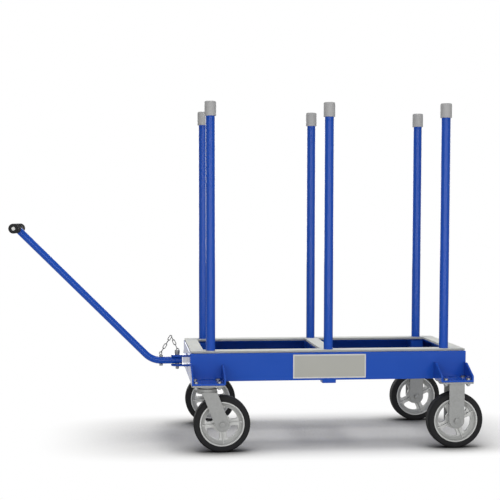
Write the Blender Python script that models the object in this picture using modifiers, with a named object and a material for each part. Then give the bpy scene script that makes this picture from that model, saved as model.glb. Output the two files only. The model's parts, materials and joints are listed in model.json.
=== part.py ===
"""Slab dolly: a low channel frame on four outrigger casters, with six lift-out posts and a tow handle.

Metres, +Z up. The origin is on the floor under the middle of the whole dolly, the handle points to -X,
and the dolly is the same on both sides of the plane Y = 0.
"""

import math

import bmesh
import bpy
from mathutils import Matrix, Vector

# Gaps: between pieces that touch, between a pin and its bore, and how far a cutter runs past its cut
SEAT_GAP = 0.0003
BORE_GAP = 0.0004
OVERRUN = 0.004

# Frame of channel rails
FRAME_LENGTH = 1.016
FRAME_WIDTH = 0.464
RAIL_HEIGHT = 0.1016
RAIL_WALL = 0.0048
FLANGE_LIP = 0.0006
END_FLANGE = 0.0508
CROSS_TUBE = 0.0508
CROSS_WALL = 0.0032

# Lining boards on the frame
LINING_THICKNESS = 0.008
LINING_INSET = 0.003

# Posts, their caps and their sockets
POST_INSET = 0.076
POST_RADIUS = 0.0167
POST_WALL = 0.0034
POST_LENGTH = 1.0082
CAP_HEIGHT = 0.0524
CAP_WALL = 0.0040
CAP_TOP = 0.005
CAP_EDGE = 0.004
POST_PLAY = 0.00235
SOCKET_WALL = 0.00635
SOCKET_FLOOR = 0.0048
SOCKET_DROP = 0.012
DRAIN_RADIUS = 0.006

# Outrigger brackets that carry the casters
BRACKET_LENGTH = 0.1143
BRACKET_REACH = 0.1016
BRACKET_THICKNESS = 0.00635
GUSSET_HEIGHT = 0.0545
GUSSET_TOE = 0.0155
GUSSET_LAND = 0.022

# Fasteners between bracket and caster
BOLT_RADIUS = 0.00475
BOLT_HEX = 0.0082
BOLT_HEAD = 0.006
BOLT_NUT = 0.0075
BOLT_TIP = 0.003
BOLT_MARGIN = 0.0013
BOLT_EDGE = 0.0175

# Wheels
WHEEL_RADIUS = 0.1016
WHEEL_WIDTH = 0.0508
TYRE_THICKNESS = 0.0216
SHOULDER_WIDTH = 0.0094
SHOULDER = 0.006
RIM_DEPTH = 0.014
RIM_INSET = 0.0014
WEB_THICKNESS = 0.012
HUB_RADIUS = 0.0225
HUB_STAND = 0.0056
SPOKE_COUNT = 4
SPOKE_WIDTH = 0.024
SPOKE_RIB = 0.004
SPOKE_RIB_DEPTH = 0.032
WINDOW_MARGIN = 0.004
AXLE_RADIUS = 0.00635
AXLE_HEX = 0.011
AXLE_HEAD = 0.008

# Caster forks
CASTER_PLATE = 0.00635
FORK_WALL = 0.005
SWIVEL_LEAD = 0.052
SWIVEL_LEG_HALF = 0.0254
SWIVEL_LEG_SHIFT = 0.007
RIGID_LEG_HALF = 0.028
TYRE_CLEARANCE = 0.00795
CROWN_THICKNESS = 0.00635
CROWN_RADIUS = 0.037
RACE_UPPER_RADIUS = 0.0325
RACE_UPPER_HEIGHT = 0.00885
RACE_LOWER_RADIUS = 0.0355
RACE_LOWER_HEIGHT = 0.011
RACE_GAP = 0.0006
KINGPIN_RADIUS = 0.009
KINGPIN_NUT = 0.009
KINGPIN_HEX = 0.0155

# Hitch and tow handle
TUBE_RADIUS = 0.01335
TUBE_WALL = 0.0029
HITCH_PLATE = 0.008
HITCH_HALF_WIDTH = 0.0235
PIN_REACH = 0.0365
TUBE_TAIL = 0.0182
TETHER_REACH = 0.0615
BEND_REACH = 0.095
BEND_RADIUS = 0.082
HANDLE_RISE = 0.500
HANDLE_SLOPE = math.radians(45)
BAR_HALF = 0.133
GRIP_RADIUS = 0.018
GRIP_SPACE = 0.008
GRIP_END = 0.004
GRIP_HOLE = 0.0068

# Drop pin, tether bolt and chain
PIN_RADIUS = 0.00635
PIN_HEAD_RADIUS = 0.0095
PIN_HEAD = 0.0165
PIN_TAIL = 0.012
PIN_TIP = 0.0025
EYE_RADIUS = 0.005
EYE_STAND = 0.001
TETHER_RADIUS = 0.0032
TETHER_HEX = 0.0068
TETHER_NUT = 0.0075
LINK_WIRE = 0.0015
LINK_PITCH = 0.0184
LINK_HALF_WIDTH = 0.0045
LINK_WELD_SHARE = 0.75
LINKS_UP = 4
LINKS_DOWN = 3

# Sizes, heights and places that follow from the sizes above
HUB_WIDTH = WHEEL_WIDTH + 2 * HUB_STAND
RIM_RADIUS = WHEEL_RADIUS - TYRE_THICKNESS
CROWN_BOTTOM = 2 * WHEEL_RADIUS + TYRE_CLEARANCE
CROWN_TOP = CROWN_BOTTOM + CROWN_THICKNESS
RACE_SPLIT = CROWN_TOP + RACE_LOWER_HEIGHT
PLATE_BOTTOM = RACE_SPLIT + RACE_UPPER_HEIGHT
PLATE_TOP = PLATE_BOTTOM + CASTER_PLATE
CASTER_HEIGHT = PLATE_TOP + SEAT_GAP
BOLT_SPREAD_X = BRACKET_LENGTH / 2 - BRACKET_THICKNESS - BOLT_HEX - BOLT_MARGIN
BOLT_SPREAD_Y = BRACKET_REACH / 2 - BOLT_EDGE
SOCKET_SIZE = 2 * (POST_RADIUS + POST_PLAY + SOCKET_WALL)
SIDE_FLANGE = RAIL_WALL + SEAT_GAP + SOCKET_SIZE + FLANGE_LIP
POST_SPACING = FRAME_LENGTH / 2 - POST_INSET
RAIL_TOP = CASTER_HEIGHT + RAIL_HEIGHT
RAIL_MIDDLE = CASTER_HEIGHT + RAIL_HEIGHT / 2
LINING_BOTTOM = RAIL_TOP + SEAT_GAP
DECK_TOP = LINING_BOTTOM + LINING_THICKNESS
SOCKET_TOP = RAIL_TOP - RAIL_WALL - SEAT_GAP
SOCKET_BOTTOM = CASTER_HEIGHT - SOCKET_DROP
POST_BOTTOM = SOCKET_BOTTOM + SOCKET_FLOOR + SEAT_GAP
POST_TOP = POST_BOTTOM + POST_LENGTH
POST_Y = FRAME_WIDTH / 2 - RAIL_WALL - SEAT_GAP - SOCKET_SIZE / 2
FLANGE_EDGE = FRAME_WIDTH / 2 - SIDE_FLANGE
BRACKET_TOP = CASTER_HEIGHT + BRACKET_THICKNESS
CASTER_Y = FRAME_WIDTH / 2 + SEAT_GAP + BRACKET_REACH / 2
LEG_INNER = HUB_WIDTH / 2 + SEAT_GAP
LEG_OUTER = LEG_INNER + FORK_WALL
GRIP_BORE = TUBE_RADIUS + SEAT_GAP
PLATE_INNER = TUBE_RADIUS + SEAT_GAP

# The middle of the whole dolly, end to end, is at X = 0
HITCH_END = FRAME_LENGTH / 2 + PIN_REACH + BEND_REACH + HANDLE_RISE / math.tan(HANDLE_SLOPE) + GRIP_RADIUS
CASTER_END = FRAME_LENGTH / 2 - BRACKET_LENGTH / 2 + WHEEL_RADIUS
FRAME_X = (HITCH_END - CASTER_END) / 2
HITCH_X = FRAME_X - FRAME_LENGTH / 2
PIN_X = HITCH_X - PIN_REACH
TETHER_X = PIN_X - TETHER_REACH
BEND_X = PIN_X - BEND_REACH
BAR_X = BEND_X - HANDLE_RISE / math.tan(HANDLE_SLOPE)
BAR_Z = RAIL_MIDDLE + HANDLE_RISE
SWIVEL_X = FRAME_X - FRAME_LENGTH / 2 + BRACKET_LENGTH / 2
RIGID_X = FRAME_X + FRAME_LENGTH / 2 - BRACKET_LENGTH / 2
POST_XS = [FRAME_X - POST_SPACING, FRAME_X, FRAME_X + POST_SPACING]

# Numbers of sides and points
POST_SIDES = 16
WHEEL_SIDES = 32
BOLT_SIDES = 8
RACE_SIDES = 16
TUBE_RESOLUTION = 3
ARC_STEPS = 8
LINK_ARC_STEPS = 4
WINDOW_STEPS = 4

# Axes: outlines are drawn flat and then stood up across X or across Y
ACROSS_X = Matrix(((0, 0, 1, 0), (1, 0, 0, 0), (0, 1, 0, 0), (0, 0, 0, 1)))
ACROSS_Y = Matrix.Rotation(math.radians(90), 4, "X")

# Finishes: colour, roughness and metallic value
FINISHES = {
    "blue_paint": ((0.023, 0.078, 0.40), 0.38, 0.0),
    "lining": ((0.68, 0.69, 0.65), 0.75, 0.0),
    "zinc": ((0.45, 0.46, 0.44), 0.42, 0.85),
    "cast_iron": ((0.50, 0.51, 0.50), 0.5, 0.6),
    "tyre": ((0.012, 0.012, 0.013), 0.8, 0.0),
    "grip": ((0.010, 0.010, 0.010), 0.6, 0.0),
    "cap": ((0.43, 0.43, 0.43), 0.6, 0.0),
    "steel": ((0.50, 0.50, 0.50), 0.35, 0.9),
}
SIDES = (("near", -1), ("far", 1))


def clear_scene():
    for obj in list(bpy.data.objects):
        bpy.data.objects.remove(obj, do_unlink=True)


def new_collection(name):
    group = bpy.data.collections.new(name)
    bpy.context.scene.collection.children.link(group)
    return group


def new_object(name, mesh, group, finish=None, origin=(0, 0, 0)):
    """Wraps a mesh drawn in world places in an object whose own origin lies at the given place."""
    mesh.name = name
    mesh.transform(Matrix.Translation(-Vector(origin)))
    obj = bpy.data.objects.new(name, mesh)
    obj.location = origin
    group.objects.link(obj)
    if finish is None:
        obj.hide_render = True
        obj.display_type = "WIRE"
    else:
        mesh.materials.append(new_material(name, *FINISHES[finish]))
    return obj


def new_material(name, colour, roughness, metallic):
    material = bpy.data.materials.new(name + "_finish")
    material.use_nodes = True
    shader = material.node_tree.nodes["Principled BSDF"]
    shader.inputs["Base Color"].default_value = (*colour, 1)
    shader.inputs["Roughness"].default_value = roughness
    shader.inputs["Metallic"].default_value = metallic
    return material


def world_place(obj):
    place = obj.location.copy()
    while obj.parent:
        obj = obj.parent
        place += obj.location
    return place


def attach(child, parent):
    """Makes child ride on parent without moving it."""
    child.location -= world_place(parent)
    child.parent = parent


def apply_modifiers(obj):
    """Keeps the evaluated shape as the object's own mesh."""
    bpy.context.view_layer.update()
    graph = bpy.context.evaluated_depsgraph_get()
    mesh = bpy.data.meshes.new_from_object(obj.evaluated_get(graph))
    obj.modifiers.clear()
    obj.data = mesh


def combine(obj, other, operation):
    modifier = obj.modifiers.new(operation.lower(), "BOOLEAN")
    modifier.operation = operation
    modifier.solver = "EXACT"
    modifier.object = other


def join_meshes(meshes):
    """One mesh that holds every given mesh as a body of its own."""
    joined = bmesh.new()
    for mesh in meshes:
        joined.from_mesh(mesh)
        bpy.data.meshes.remove(mesh)
    result = bpy.data.meshes.new("joined")
    joined.to_mesh(result)
    joined.free()
    return result


def box(low, high):
    low, high = Vector(low), Vector(high)
    shape = bmesh.new()
    bmesh.ops.create_cube(shape, size=1)
    place = Matrix.Translation((low + high) / 2) @ Matrix.Diagonal((*(high - low), 1))
    bmesh.ops.transform(shape, matrix=place, verts=shape.verts)
    mesh = bpy.data.meshes.new("box")
    shape.to_mesh(mesh)
    shape.free()
    return mesh


def cylinder(centre, radius, length, axis="Z", sides=POST_SIDES):
    turn = {
        "X": Matrix.Rotation(math.radians(90), 4, "Y"),
        "Y": Matrix.Rotation(math.radians(90), 4, "X"),
        "Z": Matrix.Identity(4),
    }[axis]
    shape = bmesh.new()
    bmesh.ops.create_cone(
        shape, cap_ends=True, segments=sides, radius1=radius, radius2=radius, depth=length,
        matrix=Matrix.Translation(centre) @ turn,
    )
    mesh = bpy.data.meshes.new("cylinder")
    shape.to_mesh(mesh)
    shape.free()
    return mesh


def upright(place, radius, bottom, top, sides=POST_SIDES):
    """A cylinder that stands at (x, y) from one height to another."""
    return cylinder((place[0], place[1], (bottom + top) / 2), radius, top - bottom, "Z", sides)


def turned(profile, sides, closed, matrix):
    """Turns (radius, height) points about Z: the section of a ring if closed, or else ending on the axis."""
    mesh = bpy.data.meshes.new("profile")
    count = len(profile)
    edges = [(i, i + 1) for i in range(count - 1)]
    if closed:
        edges.append((count - 1, 0))
    mesh.from_pydata([(radius, 0, height) for radius, height in profile], edges, [])
    obj = bpy.data.objects.new("turned", mesh)
    bpy.context.scene.collection.objects.link(obj)
    screw = obj.modifiers.new("turn", "SCREW")
    screw.steps = sides
    screw.render_steps = sides
    screw.use_merge_vertices = True
    screw.merge_threshold = 0.00001
    apply_modifiers(obj)
    result = obj.data
    bpy.data.objects.remove(obj)
    result.transform(matrix)
    return result


def curve_mesh(points, cyclic=False, depth=0.0, resolution=TUBE_RESOLUTION, extrude=0.0, matrix=None):
    """A tube along points where depth is given, or else a flat outline of that extrusion."""
    curve = bpy.data.curves.new("curve", "CURVE")
    curve.dimensions = "3D" if depth else "2D"
    spline = curve.splines.new("POLY")
    spline.points.add(len(points) - 1)
    for point, place in zip(spline.points, points):
        point.co = (*place, 1) if depth else (*place, 0, 1)
    spline.use_cyclic_u = cyclic
    curve.fill_mode = "FULL" if depth else "BOTH"
    curve.bevel_depth = depth
    curve.bevel_resolution = resolution
    curve.extrude = extrude
    curve.use_fill_caps = not cyclic
    obj = bpy.data.objects.new("curve", curve)
    bpy.context.scene.collection.objects.link(obj)
    bpy.context.view_layer.update()
    mesh = bpy.data.meshes.new_from_object(obj.evaluated_get(bpy.context.evaluated_depsgraph_get()))
    bpy.data.objects.remove(obj)
    welded = bmesh.new()
    welded.from_mesh(mesh)
    bmesh.ops.remove_doubles(welded, verts=welded.verts, dist=0.00001)
    bmesh.ops.recalc_face_normals(welded, faces=welded.faces)
    welded.to_mesh(mesh)
    welded.free()
    if matrix:
        mesh.transform(matrix)
    return mesh


def outline(points, thickness, matrix):
    return curve_mesh(points, cyclic=True, extrude=thickness / 2, matrix=matrix)


def arc(centre, radius, start, end, steps=ARC_STEPS):
    """Points round a centre from one angle to another, both included."""
    angles = [start + (end - start) * step / steps for step in range(steps + 1)]
    return [(centre[0] + radius * math.cos(a), centre[1] + radius * math.sin(a)) for a in angles]


def channel_points(depth, outward):
    """A channel's section with its web on the outward side at zero, as (across, height above its foot)."""
    inner = RAIL_WALL * outward
    edge = depth * outward
    upper = RAIL_HEIGHT - RAIL_WALL
    return [
        (0, 0), (-edge, 0), (-edge, RAIL_WALL), (-inner, RAIL_WALL),
        (-inner, upper), (-edge, upper), (-edge, RAIL_HEIGHT), (0, RAIL_HEIGHT),
    ]


def build_side_rails(parts, cutters):
    for side, sign in SIDES:
        web_y = sign * FRAME_WIDTH / 2
        place = Matrix.Translation((FRAME_X, web_y, CASTER_HEIGHT)) @ ACROSS_X
        mesh = outline(channel_points(SIDE_FLANGE, sign), FRAME_LENGTH, place)
        rail = new_object("side_rail_" + side, mesh, parts, "blue_paint")
        cuts = []
        for x in POST_XS:
            hole = (x, sign * POST_Y)
            cuts.append(upright(hole, POST_RADIUS + BORE_GAP, SOCKET_TOP, RAIL_TOP + OVERRUN))
            half = SOCKET_SIZE / 2 + SEAT_GAP
            inner_y = sign * (FLANGE_EDGE - OVERRUN)
            outer_y = sign * (POST_Y + half)
            low_y, high_y = sorted((inner_y, outer_y))
            low = (x - half, low_y, CASTER_HEIGHT - OVERRUN)
            cuts.append(box(low, (x + half, high_y, CASTER_HEIGHT + RAIL_WALL + OVERRUN)))
        cutter = new_object("side_rail_cuts_" + side, join_meshes(cuts), cutters)
        combine(rail, cutter, "DIFFERENCE")


def build_end_rails(parts, cutters):
    span = 2 * (FLANGE_EDGE - SEAT_GAP)
    web_half = FRAME_WIDTH / 2 - RAIL_WALL - SEAT_GAP
    for name, sign in (("end_rail_hitch", -1), ("end_rail_rear", 1)):
        web_x = FRAME_X + sign * FRAME_LENGTH / 2
        place = Matrix.Translation((web_x, 0, CASTER_HEIGHT)) @ ACROSS_Y
        rail = new_object(name, outline(channel_points(END_FLANGE, sign), span, place), parts, "blue_paint")
        low_x, high_x = sorted((web_x, web_x - sign * RAIL_WALL))
        low_z = CASTER_HEIGHT + RAIL_WALL + SEAT_GAP
        high_z = RAIL_TOP - RAIL_WALL - SEAT_GAP
        tabs = box((low_x, -web_half, low_z), (high_x, web_half, high_z))
        combine(rail, new_object(name + "_tabs", tabs, cutters), "UNION")


def build_cross_rail(parts, cutters):
    half_span = FLANGE_EDGE - SEAT_GAP
    half = CROSS_TUBE / 2
    low = (FRAME_X - half, -half_span, RAIL_TOP - CROSS_TUBE)
    rail = new_object("cross_rail", box(low, (FRAME_X + half, half_span, RAIL_TOP)), parts, "blue_paint")
    bore_half = half - CROSS_WALL
    bore_low = (FRAME_X - bore_half, -half_span - OVERRUN, RAIL_TOP - CROSS_TUBE + CROSS_WALL)
    bore = box(bore_low, (FRAME_X + bore_half, half_span + OVERRUN, RAIL_TOP - CROSS_WALL))
    combine(rail, new_object("cross_rail_bore", bore, cutters), "DIFFERENCE")


def build_sockets(parts, cutters):
    """Square tubes that stand inside the side rails, each with a floor that its post rests on and a drain."""
    half = SOCKET_SIZE / 2
    bore_half = half - SOCKET_WALL
    floor_top = SOCKET_BOTTOM + SOCKET_FLOOR
    for side, sign in SIDES:
        for number, x in enumerate(POST_XS, 1):
            y = sign * POST_Y
            name = "post_socket_%s_%d" % (side, number)
            tube = box((x - half, y - half, SOCKET_BOTTOM), (x + half, y + half, SOCKET_TOP))
            socket = new_object(name, tube, parts, "blue_paint")
            bore_top = SOCKET_TOP + OVERRUN
            bore = box((x - bore_half, y - bore_half, floor_top), (x + bore_half, y + bore_half, bore_top))
            combine(socket, new_object(name + "_bore", bore, cutters), "DIFFERENCE")
            drain = upright((x, y), DRAIN_RADIUS, SOCKET_BOTTOM - OVERRUN, floor_top + OVERRUN, BOLT_SIDES)
            combine(socket, new_object(name + "_drain", drain, cutters), "DIFFERENCE")


def build_linings(parts, cutters):
    """Light boards that lie on the frame's flanges, with a hole for each post."""
    end_x = FRAME_LENGTH / 2 - LINING_INSET
    for side, sign in SIDES:
        low_y, high_y = sorted((sign * FLANGE_EDGE, sign * (FRAME_WIDTH / 2 - LINING_INSET)))
        board = box((FRAME_X - end_x, low_y, LINING_BOTTOM), (FRAME_X + end_x, high_y, DECK_TOP))
        lining = new_object("side_lining_" + side, board, parts, "lining")
        low_z, high_z = LINING_BOTTOM - OVERRUN, DECK_TOP + OVERRUN
        holes = [upright((x, sign * POST_Y), POST_RADIUS + BORE_GAP, low_z, high_z) for x in POST_XS]
        combine(lining, new_object("side_lining_holes_" + side, join_meshes(holes), cutters), "DIFFERENCE")
    half_span = FLANGE_EDGE - SEAT_GAP
    inner_x = FRAME_LENGTH / 2 - END_FLANGE
    for name, low_x, high_x in (
        ("end_lining_hitch", -end_x, -inner_x),
        ("cross_lining", -CROSS_TUBE / 2, CROSS_TUBE / 2),
        ("end_lining_rear", inner_x, end_x),
    ):
        low = (FRAME_X + low_x, -half_span, LINING_BOTTOM)
        new_object(name, box(low, (FRAME_X + high_x, half_span, DECK_TOP)), parts, "lining")


def build_posts(parts):
    cap_radius = POST_RADIUS + SEAT_GAP + CAP_WALL
    cap_top = POST_TOP + SEAT_GAP + CAP_TOP
    cap_bottom = cap_top - CAP_HEIGHT
    bore = POST_RADIUS + SEAT_GAP
    bevel = CAP_EDGE * (1 - math.cos(math.radians(45)))
    tube_profile = [
        (POST_RADIUS - POST_WALL, POST_TOP), (POST_RADIUS, POST_TOP),
        (POST_RADIUS, POST_BOTTOM), (POST_RADIUS - POST_WALL, POST_BOTTOM),
    ]
    cap_profile = [
        (0, cap_top), (cap_radius - CAP_EDGE, cap_top), (cap_radius - bevel, cap_top - bevel),
        (cap_radius, cap_top - CAP_EDGE), (cap_radius, cap_bottom), (bore, cap_bottom),
        (bore, cap_top - CAP_TOP), (0, cap_top - CAP_TOP),
    ]
    for side, sign in SIDES:
        for number, x in enumerate(POST_XS, 1):
            place = (x, sign * POST_Y, 0)
            foot = (x, sign * POST_Y, POST_BOTTOM)
            move = Matrix.Translation(place)
            mesh = turned(tube_profile, POST_SIDES, True, move)
            post = new_object("post_%s_%d" % (side, number), mesh, parts, "blue_paint", foot)
            mesh = turned(cap_profile, POST_SIDES, False, move)
            head = (x, sign * POST_Y, POST_TOP)
            cap = new_object("post_cap_%s_%d" % (side, number), mesh, parts, "cap", head)
            smooth(post, cap)
            attach(cap, post)


def smooth(*objects):
    for obj in objects:
        obj.data.shade_smooth()
        obj.data.set_sharp_from_angle(angle=math.radians(35))


def bolt_places(centre_x, centre_y):
    spread = [(i * BOLT_SPREAD_X, j * BOLT_SPREAD_Y) for i in (-1, 1) for j in (-1, 1)]
    return [(centre_x + dx, centre_y + dy) for dx, dy in spread]


def build_brackets(parts, cutters):
    """Plates that stand out from the side rails at each corner, each with two welded gussets.

    The outer gusset is flush with the frame's end, and the inner one stands on the plate's inner end.
    """
    rail_y = FRAME_WIDTH / 2 + SEAT_GAP
    tip_y = rail_y + BRACKET_REACH
    foot_z = CASTER_HEIGHT + BRACKET_THICKNESS / 2
    half = BRACKET_LENGTH / 2
    section = [
        (rail_y, foot_z), (tip_y, foot_z), (tip_y, BRACKET_TOP + GUSSET_TOE),
        (rail_y + GUSSET_LAND, BRACKET_TOP + GUSSET_HEIGHT), (rail_y, BRACKET_TOP + GUSSET_HEIGHT),
    ]
    for place_name, centre_x, inward in (("hitch", SWIVEL_X, 1), ("rear", RIGID_X, -1)):
        outer_x = centre_x - inward * half
        inner_x = centre_x + inward * (half + BRACKET_THICKNESS / 2)
        low_x, high_x = sorted((outer_x, inner_x))
        for side, sign in SIDES:
            name = "bracket_%s_%s" % (place_name, side)
            low_y, high_y = sorted((sign * rail_y, sign * tip_y))
            plate = box((low_x, low_y, CASTER_HEIGHT), (high_x, high_y, BRACKET_TOP))
            bracket = new_object(name, plate, parts, "blue_paint")
            for number, gusset_x in enumerate((outer_x + inward * BRACKET_THICKNESS / 2, inner_x), 1):
                points = [(sign * y, z) for y, z in section]
                gusset = outline(points, BRACKET_THICKNESS, Matrix.Translation((gusset_x, 0, 0)) @ ACROSS_X)
                combine(bracket, new_object("%s_gusset_%d" % (name, number), gusset, cutters), "UNION")
            low, high = CASTER_HEIGHT - OVERRUN, BRACKET_TOP + OVERRUN
            holes = [
                upright(place, BOLT_RADIUS + BORE_GAP, low, high, BOLT_SIDES)
                for place in bolt_places(centre_x, sign * CASTER_Y)
            ]
            combine(bracket, new_object(name + "_holes", join_meshes(holes), cutters), "DIFFERENCE")


def add_caster_bolts(plate, centre_x, centre_y, cutters):
    """Joins to a caster's top plate the four bolts that clamp it under its bracket, each with its nut."""
    head_bottom = BRACKET_TOP + SEAT_GAP
    nut_bottom = PLATE_BOTTOM - BOLT_NUT
    shanks, heads, nuts = [], [], []
    for place in bolt_places(centre_x, centre_y):
        shanks.append(
            upright(place, BOLT_RADIUS, nut_bottom - BOLT_TIP, head_bottom + BOLT_HEAD / 2, BOLT_SIDES)
        )
        heads.append(upright(place, BOLT_HEX, head_bottom, head_bottom + BOLT_HEAD, 6))
        nuts.append(upright(place, BOLT_HEX, nut_bottom, PLATE_BOTTOM + BOLT_TIP, 6))
    for name, meshes in (("shanks", shanks), ("heads", heads), ("nuts", nuts)):
        combine(plate, new_object("%s_bolt_%s" % (plate.name, name), join_meshes(meshes), cutters), "UNION")


def wheel_core_profile():
    """The section of hub, web and rim, round a bore for the axle."""
    bore = AXLE_RADIUS + BORE_GAP
    web = WEB_THICKNESS / 2
    hub = HUB_WIDTH / 2
    rim = WHEEL_WIDTH / 2 - RIM_INSET
    rim_inner = RIM_RADIUS - RIM_DEPTH
    upper = [(bore, hub), (HUB_RADIUS, hub), (HUB_RADIUS + WEB_THICKNESS / 4, web)]
    upper += [(rim_inner - WINDOW_MARGIN / 2, web)]
    upper += [(rim_inner, rim - WINDOW_MARGIN), (RIM_RADIUS, rim)]
    return upper + [(radius, -height) for radius, height in reversed(upper)]


def tyre_profile():
    bore = RIM_RADIUS + SEAT_GAP
    half = WHEEL_WIDTH / 2
    tread = half - SHOULDER_WIDTH
    wall = WHEEL_RADIUS - SHOULDER
    upper = [(bore, half - SHOULDER / 4), (wall, half), (WHEEL_RADIUS - SHOULDER / 4, tread + SHOULDER / 2)]
    upper += [(WHEEL_RADIUS, tread)]
    return upper + [(radius, -height) for radius, height in reversed(upper)]


def window_points():
    """A bean-shaped window between two spokes a quarter turn apart, drawn in its own plane."""
    outer = RIM_RADIUS - RIM_DEPTH - WINDOW_MARGIN
    inner = HUB_RADIUS + WEB_THICKNESS / 2 + WINDOW_MARGIN
    step = math.radians(360) / SPOKE_COUNT
    outer_angle = math.asin(SPOKE_WIDTH / 2 / outer)
    inner_angle = math.asin(SPOKE_WIDTH / 2 / inner)
    points = arc((0, 0), outer, outer_angle, step - outer_angle, WINDOW_STEPS)
    return points + arc((0, 0), inner, step - inner_angle, inner_angle, WINDOW_STEPS // 2)


def build_wheel(name, centre, first_spoke, parts, cutters):
    """A cast wheel with a rubber tyre. Its origin is the axle's centre and its axis is Y."""
    stand = Matrix.Translation(centre) @ ACROSS_Y
    core_mesh = turned(wheel_core_profile(), WHEEL_SIDES, True, stand)
    core = new_object("wheel_core_" + name, core_mesh, parts, "cast_iron", centre)
    ribs, windows = [], []
    for number in range(SPOKE_COUNT):
        turn = Matrix.Rotation(first_spoke + math.radians(360) / SPOKE_COUNT * number, 4, "Z")
        rib_end = RIM_RADIUS - RIM_DEPTH / 2
        low = (HUB_RADIUS / 2, -SPOKE_RIB / 2, -SPOKE_RIB_DEPTH / 2)
        rib = box(low, (rib_end, SPOKE_RIB / 2, SPOKE_RIB_DEPTH / 2))
        rib.transform(stand @ turn)
        ribs.append(rib)
        windows.append(outline(window_points(), WEB_THICKNESS + 2 * OVERRUN, stand @ turn))
    combine(core, new_object("wheel_windows_" + name, join_meshes(windows), cutters), "DIFFERENCE")
    for number, rib in enumerate(ribs, 1):
        combine(core, new_object("wheel_rib_%s_%d" % (name, number), rib, cutters), "UNION")
    tyre_mesh = turned(tyre_profile(), WHEEL_SIDES, True, stand)
    tyre = new_object("tyre_" + name, tyre_mesh, parts, "tyre", centre)
    smooth(tyre)
    attach(tyre, core)
    return core


def leg_points(top_x, top_z, axle_x, half):
    """A fork leg that runs from its top edge down to a round end about the axle."""
    run = Vector((axle_x - top_x, WHEEL_RADIUS - top_z)).normalized()
    slant = half / abs(run.y)
    heading = math.atan2(run.y, run.x)
    quarter = math.radians(90)
    end = arc((axle_x, WHEEL_RADIUS), half, heading - quarter, heading + quarter)
    return [(top_x - slant, top_z)] + end + [(top_x + slant, top_z)]


def fork_legs(top_x, top_z, axle_x, half, centre_y):
    legs = []
    for sign in (-1, 1):
        y = centre_y + sign * (LEG_INNER + FORK_WALL / 2)
        place = Matrix.Translation((0, y, 0)) @ ACROSS_Y
        legs.append(outline(leg_points(top_x, top_z, axle_x, half), FORK_WALL, place))
    return legs


def axle_bore(name, x, y, cutters):
    length = 2 * (LEG_OUTER + OVERRUN)
    bore = cylinder((x, y, WHEEL_RADIUS), AXLE_RADIUS + BORE_GAP, length, "Y", BOLT_SIDES)
    return new_object(name, bore, cutters)


def build_axle(name, x, y, parts, cutters):
    """An axle bolt with its head at -Y and its nut at +Y."""
    seat = LEG_OUTER + SEAT_GAP
    place = (x, y, WHEEL_RADIUS)
    shank = cylinder(place, AXLE_RADIUS, 2 * (seat + AXLE_HEAD / 2), "Y", BOLT_SIDES)
    axle = new_object("axle_" + name, shank, parts, "zinc", place)
    for end, sign in (("head", -1), ("nut", 1)):
        hexagon = cylinder((x, y + sign * (seat + AXLE_HEAD / 2), WHEEL_RADIUS), AXLE_HEX, AXLE_HEAD, "Y", 6)
        combine(axle, new_object("axle_%s_%s" % (end, name), hexagon, cutters), "UNION")
    return axle


def caster_plate(centre_x, centre_y):
    half = BRACKET_LENGTH / 2
    reach = BRACKET_REACH / 2
    low = (centre_x - half, centre_y - reach, PLATE_BOTTOM)
    return box(low, (centre_x + half, centre_y + reach, PLATE_TOP))


def build_rigid_casters(parts, cutters):
    for side, sign in SIDES:
        centre_y = sign * CASTER_Y
        name = "rigid_" + side
        fork = new_object("rigid_fork_" + side, caster_plate(RIGID_X, centre_y), parts, "zinc")
        top = PLATE_BOTTOM + CASTER_PLATE / 2
        legs = fork_legs(RIGID_X, top, RIGID_X, RIGID_LEG_HALF, centre_y)
        for number, leg in enumerate(legs, 1):
            combine(fork, new_object("rigid_leg_%s_%d" % (side, number), leg, cutters), "UNION")
        add_caster_bolts(fork, RIGID_X, centre_y, cutters)
        combine(fork, axle_bore("rigid_axle_bore_" + side, RIGID_X, centre_y, cutters), "DIFFERENCE")
        centre = (RIGID_X, centre_y, WHEEL_RADIUS)
        build_wheel(name, centre, math.radians(25), parts, cutters)
        build_axle(name, RIGID_X, centre_y, parts, cutters)


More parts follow.
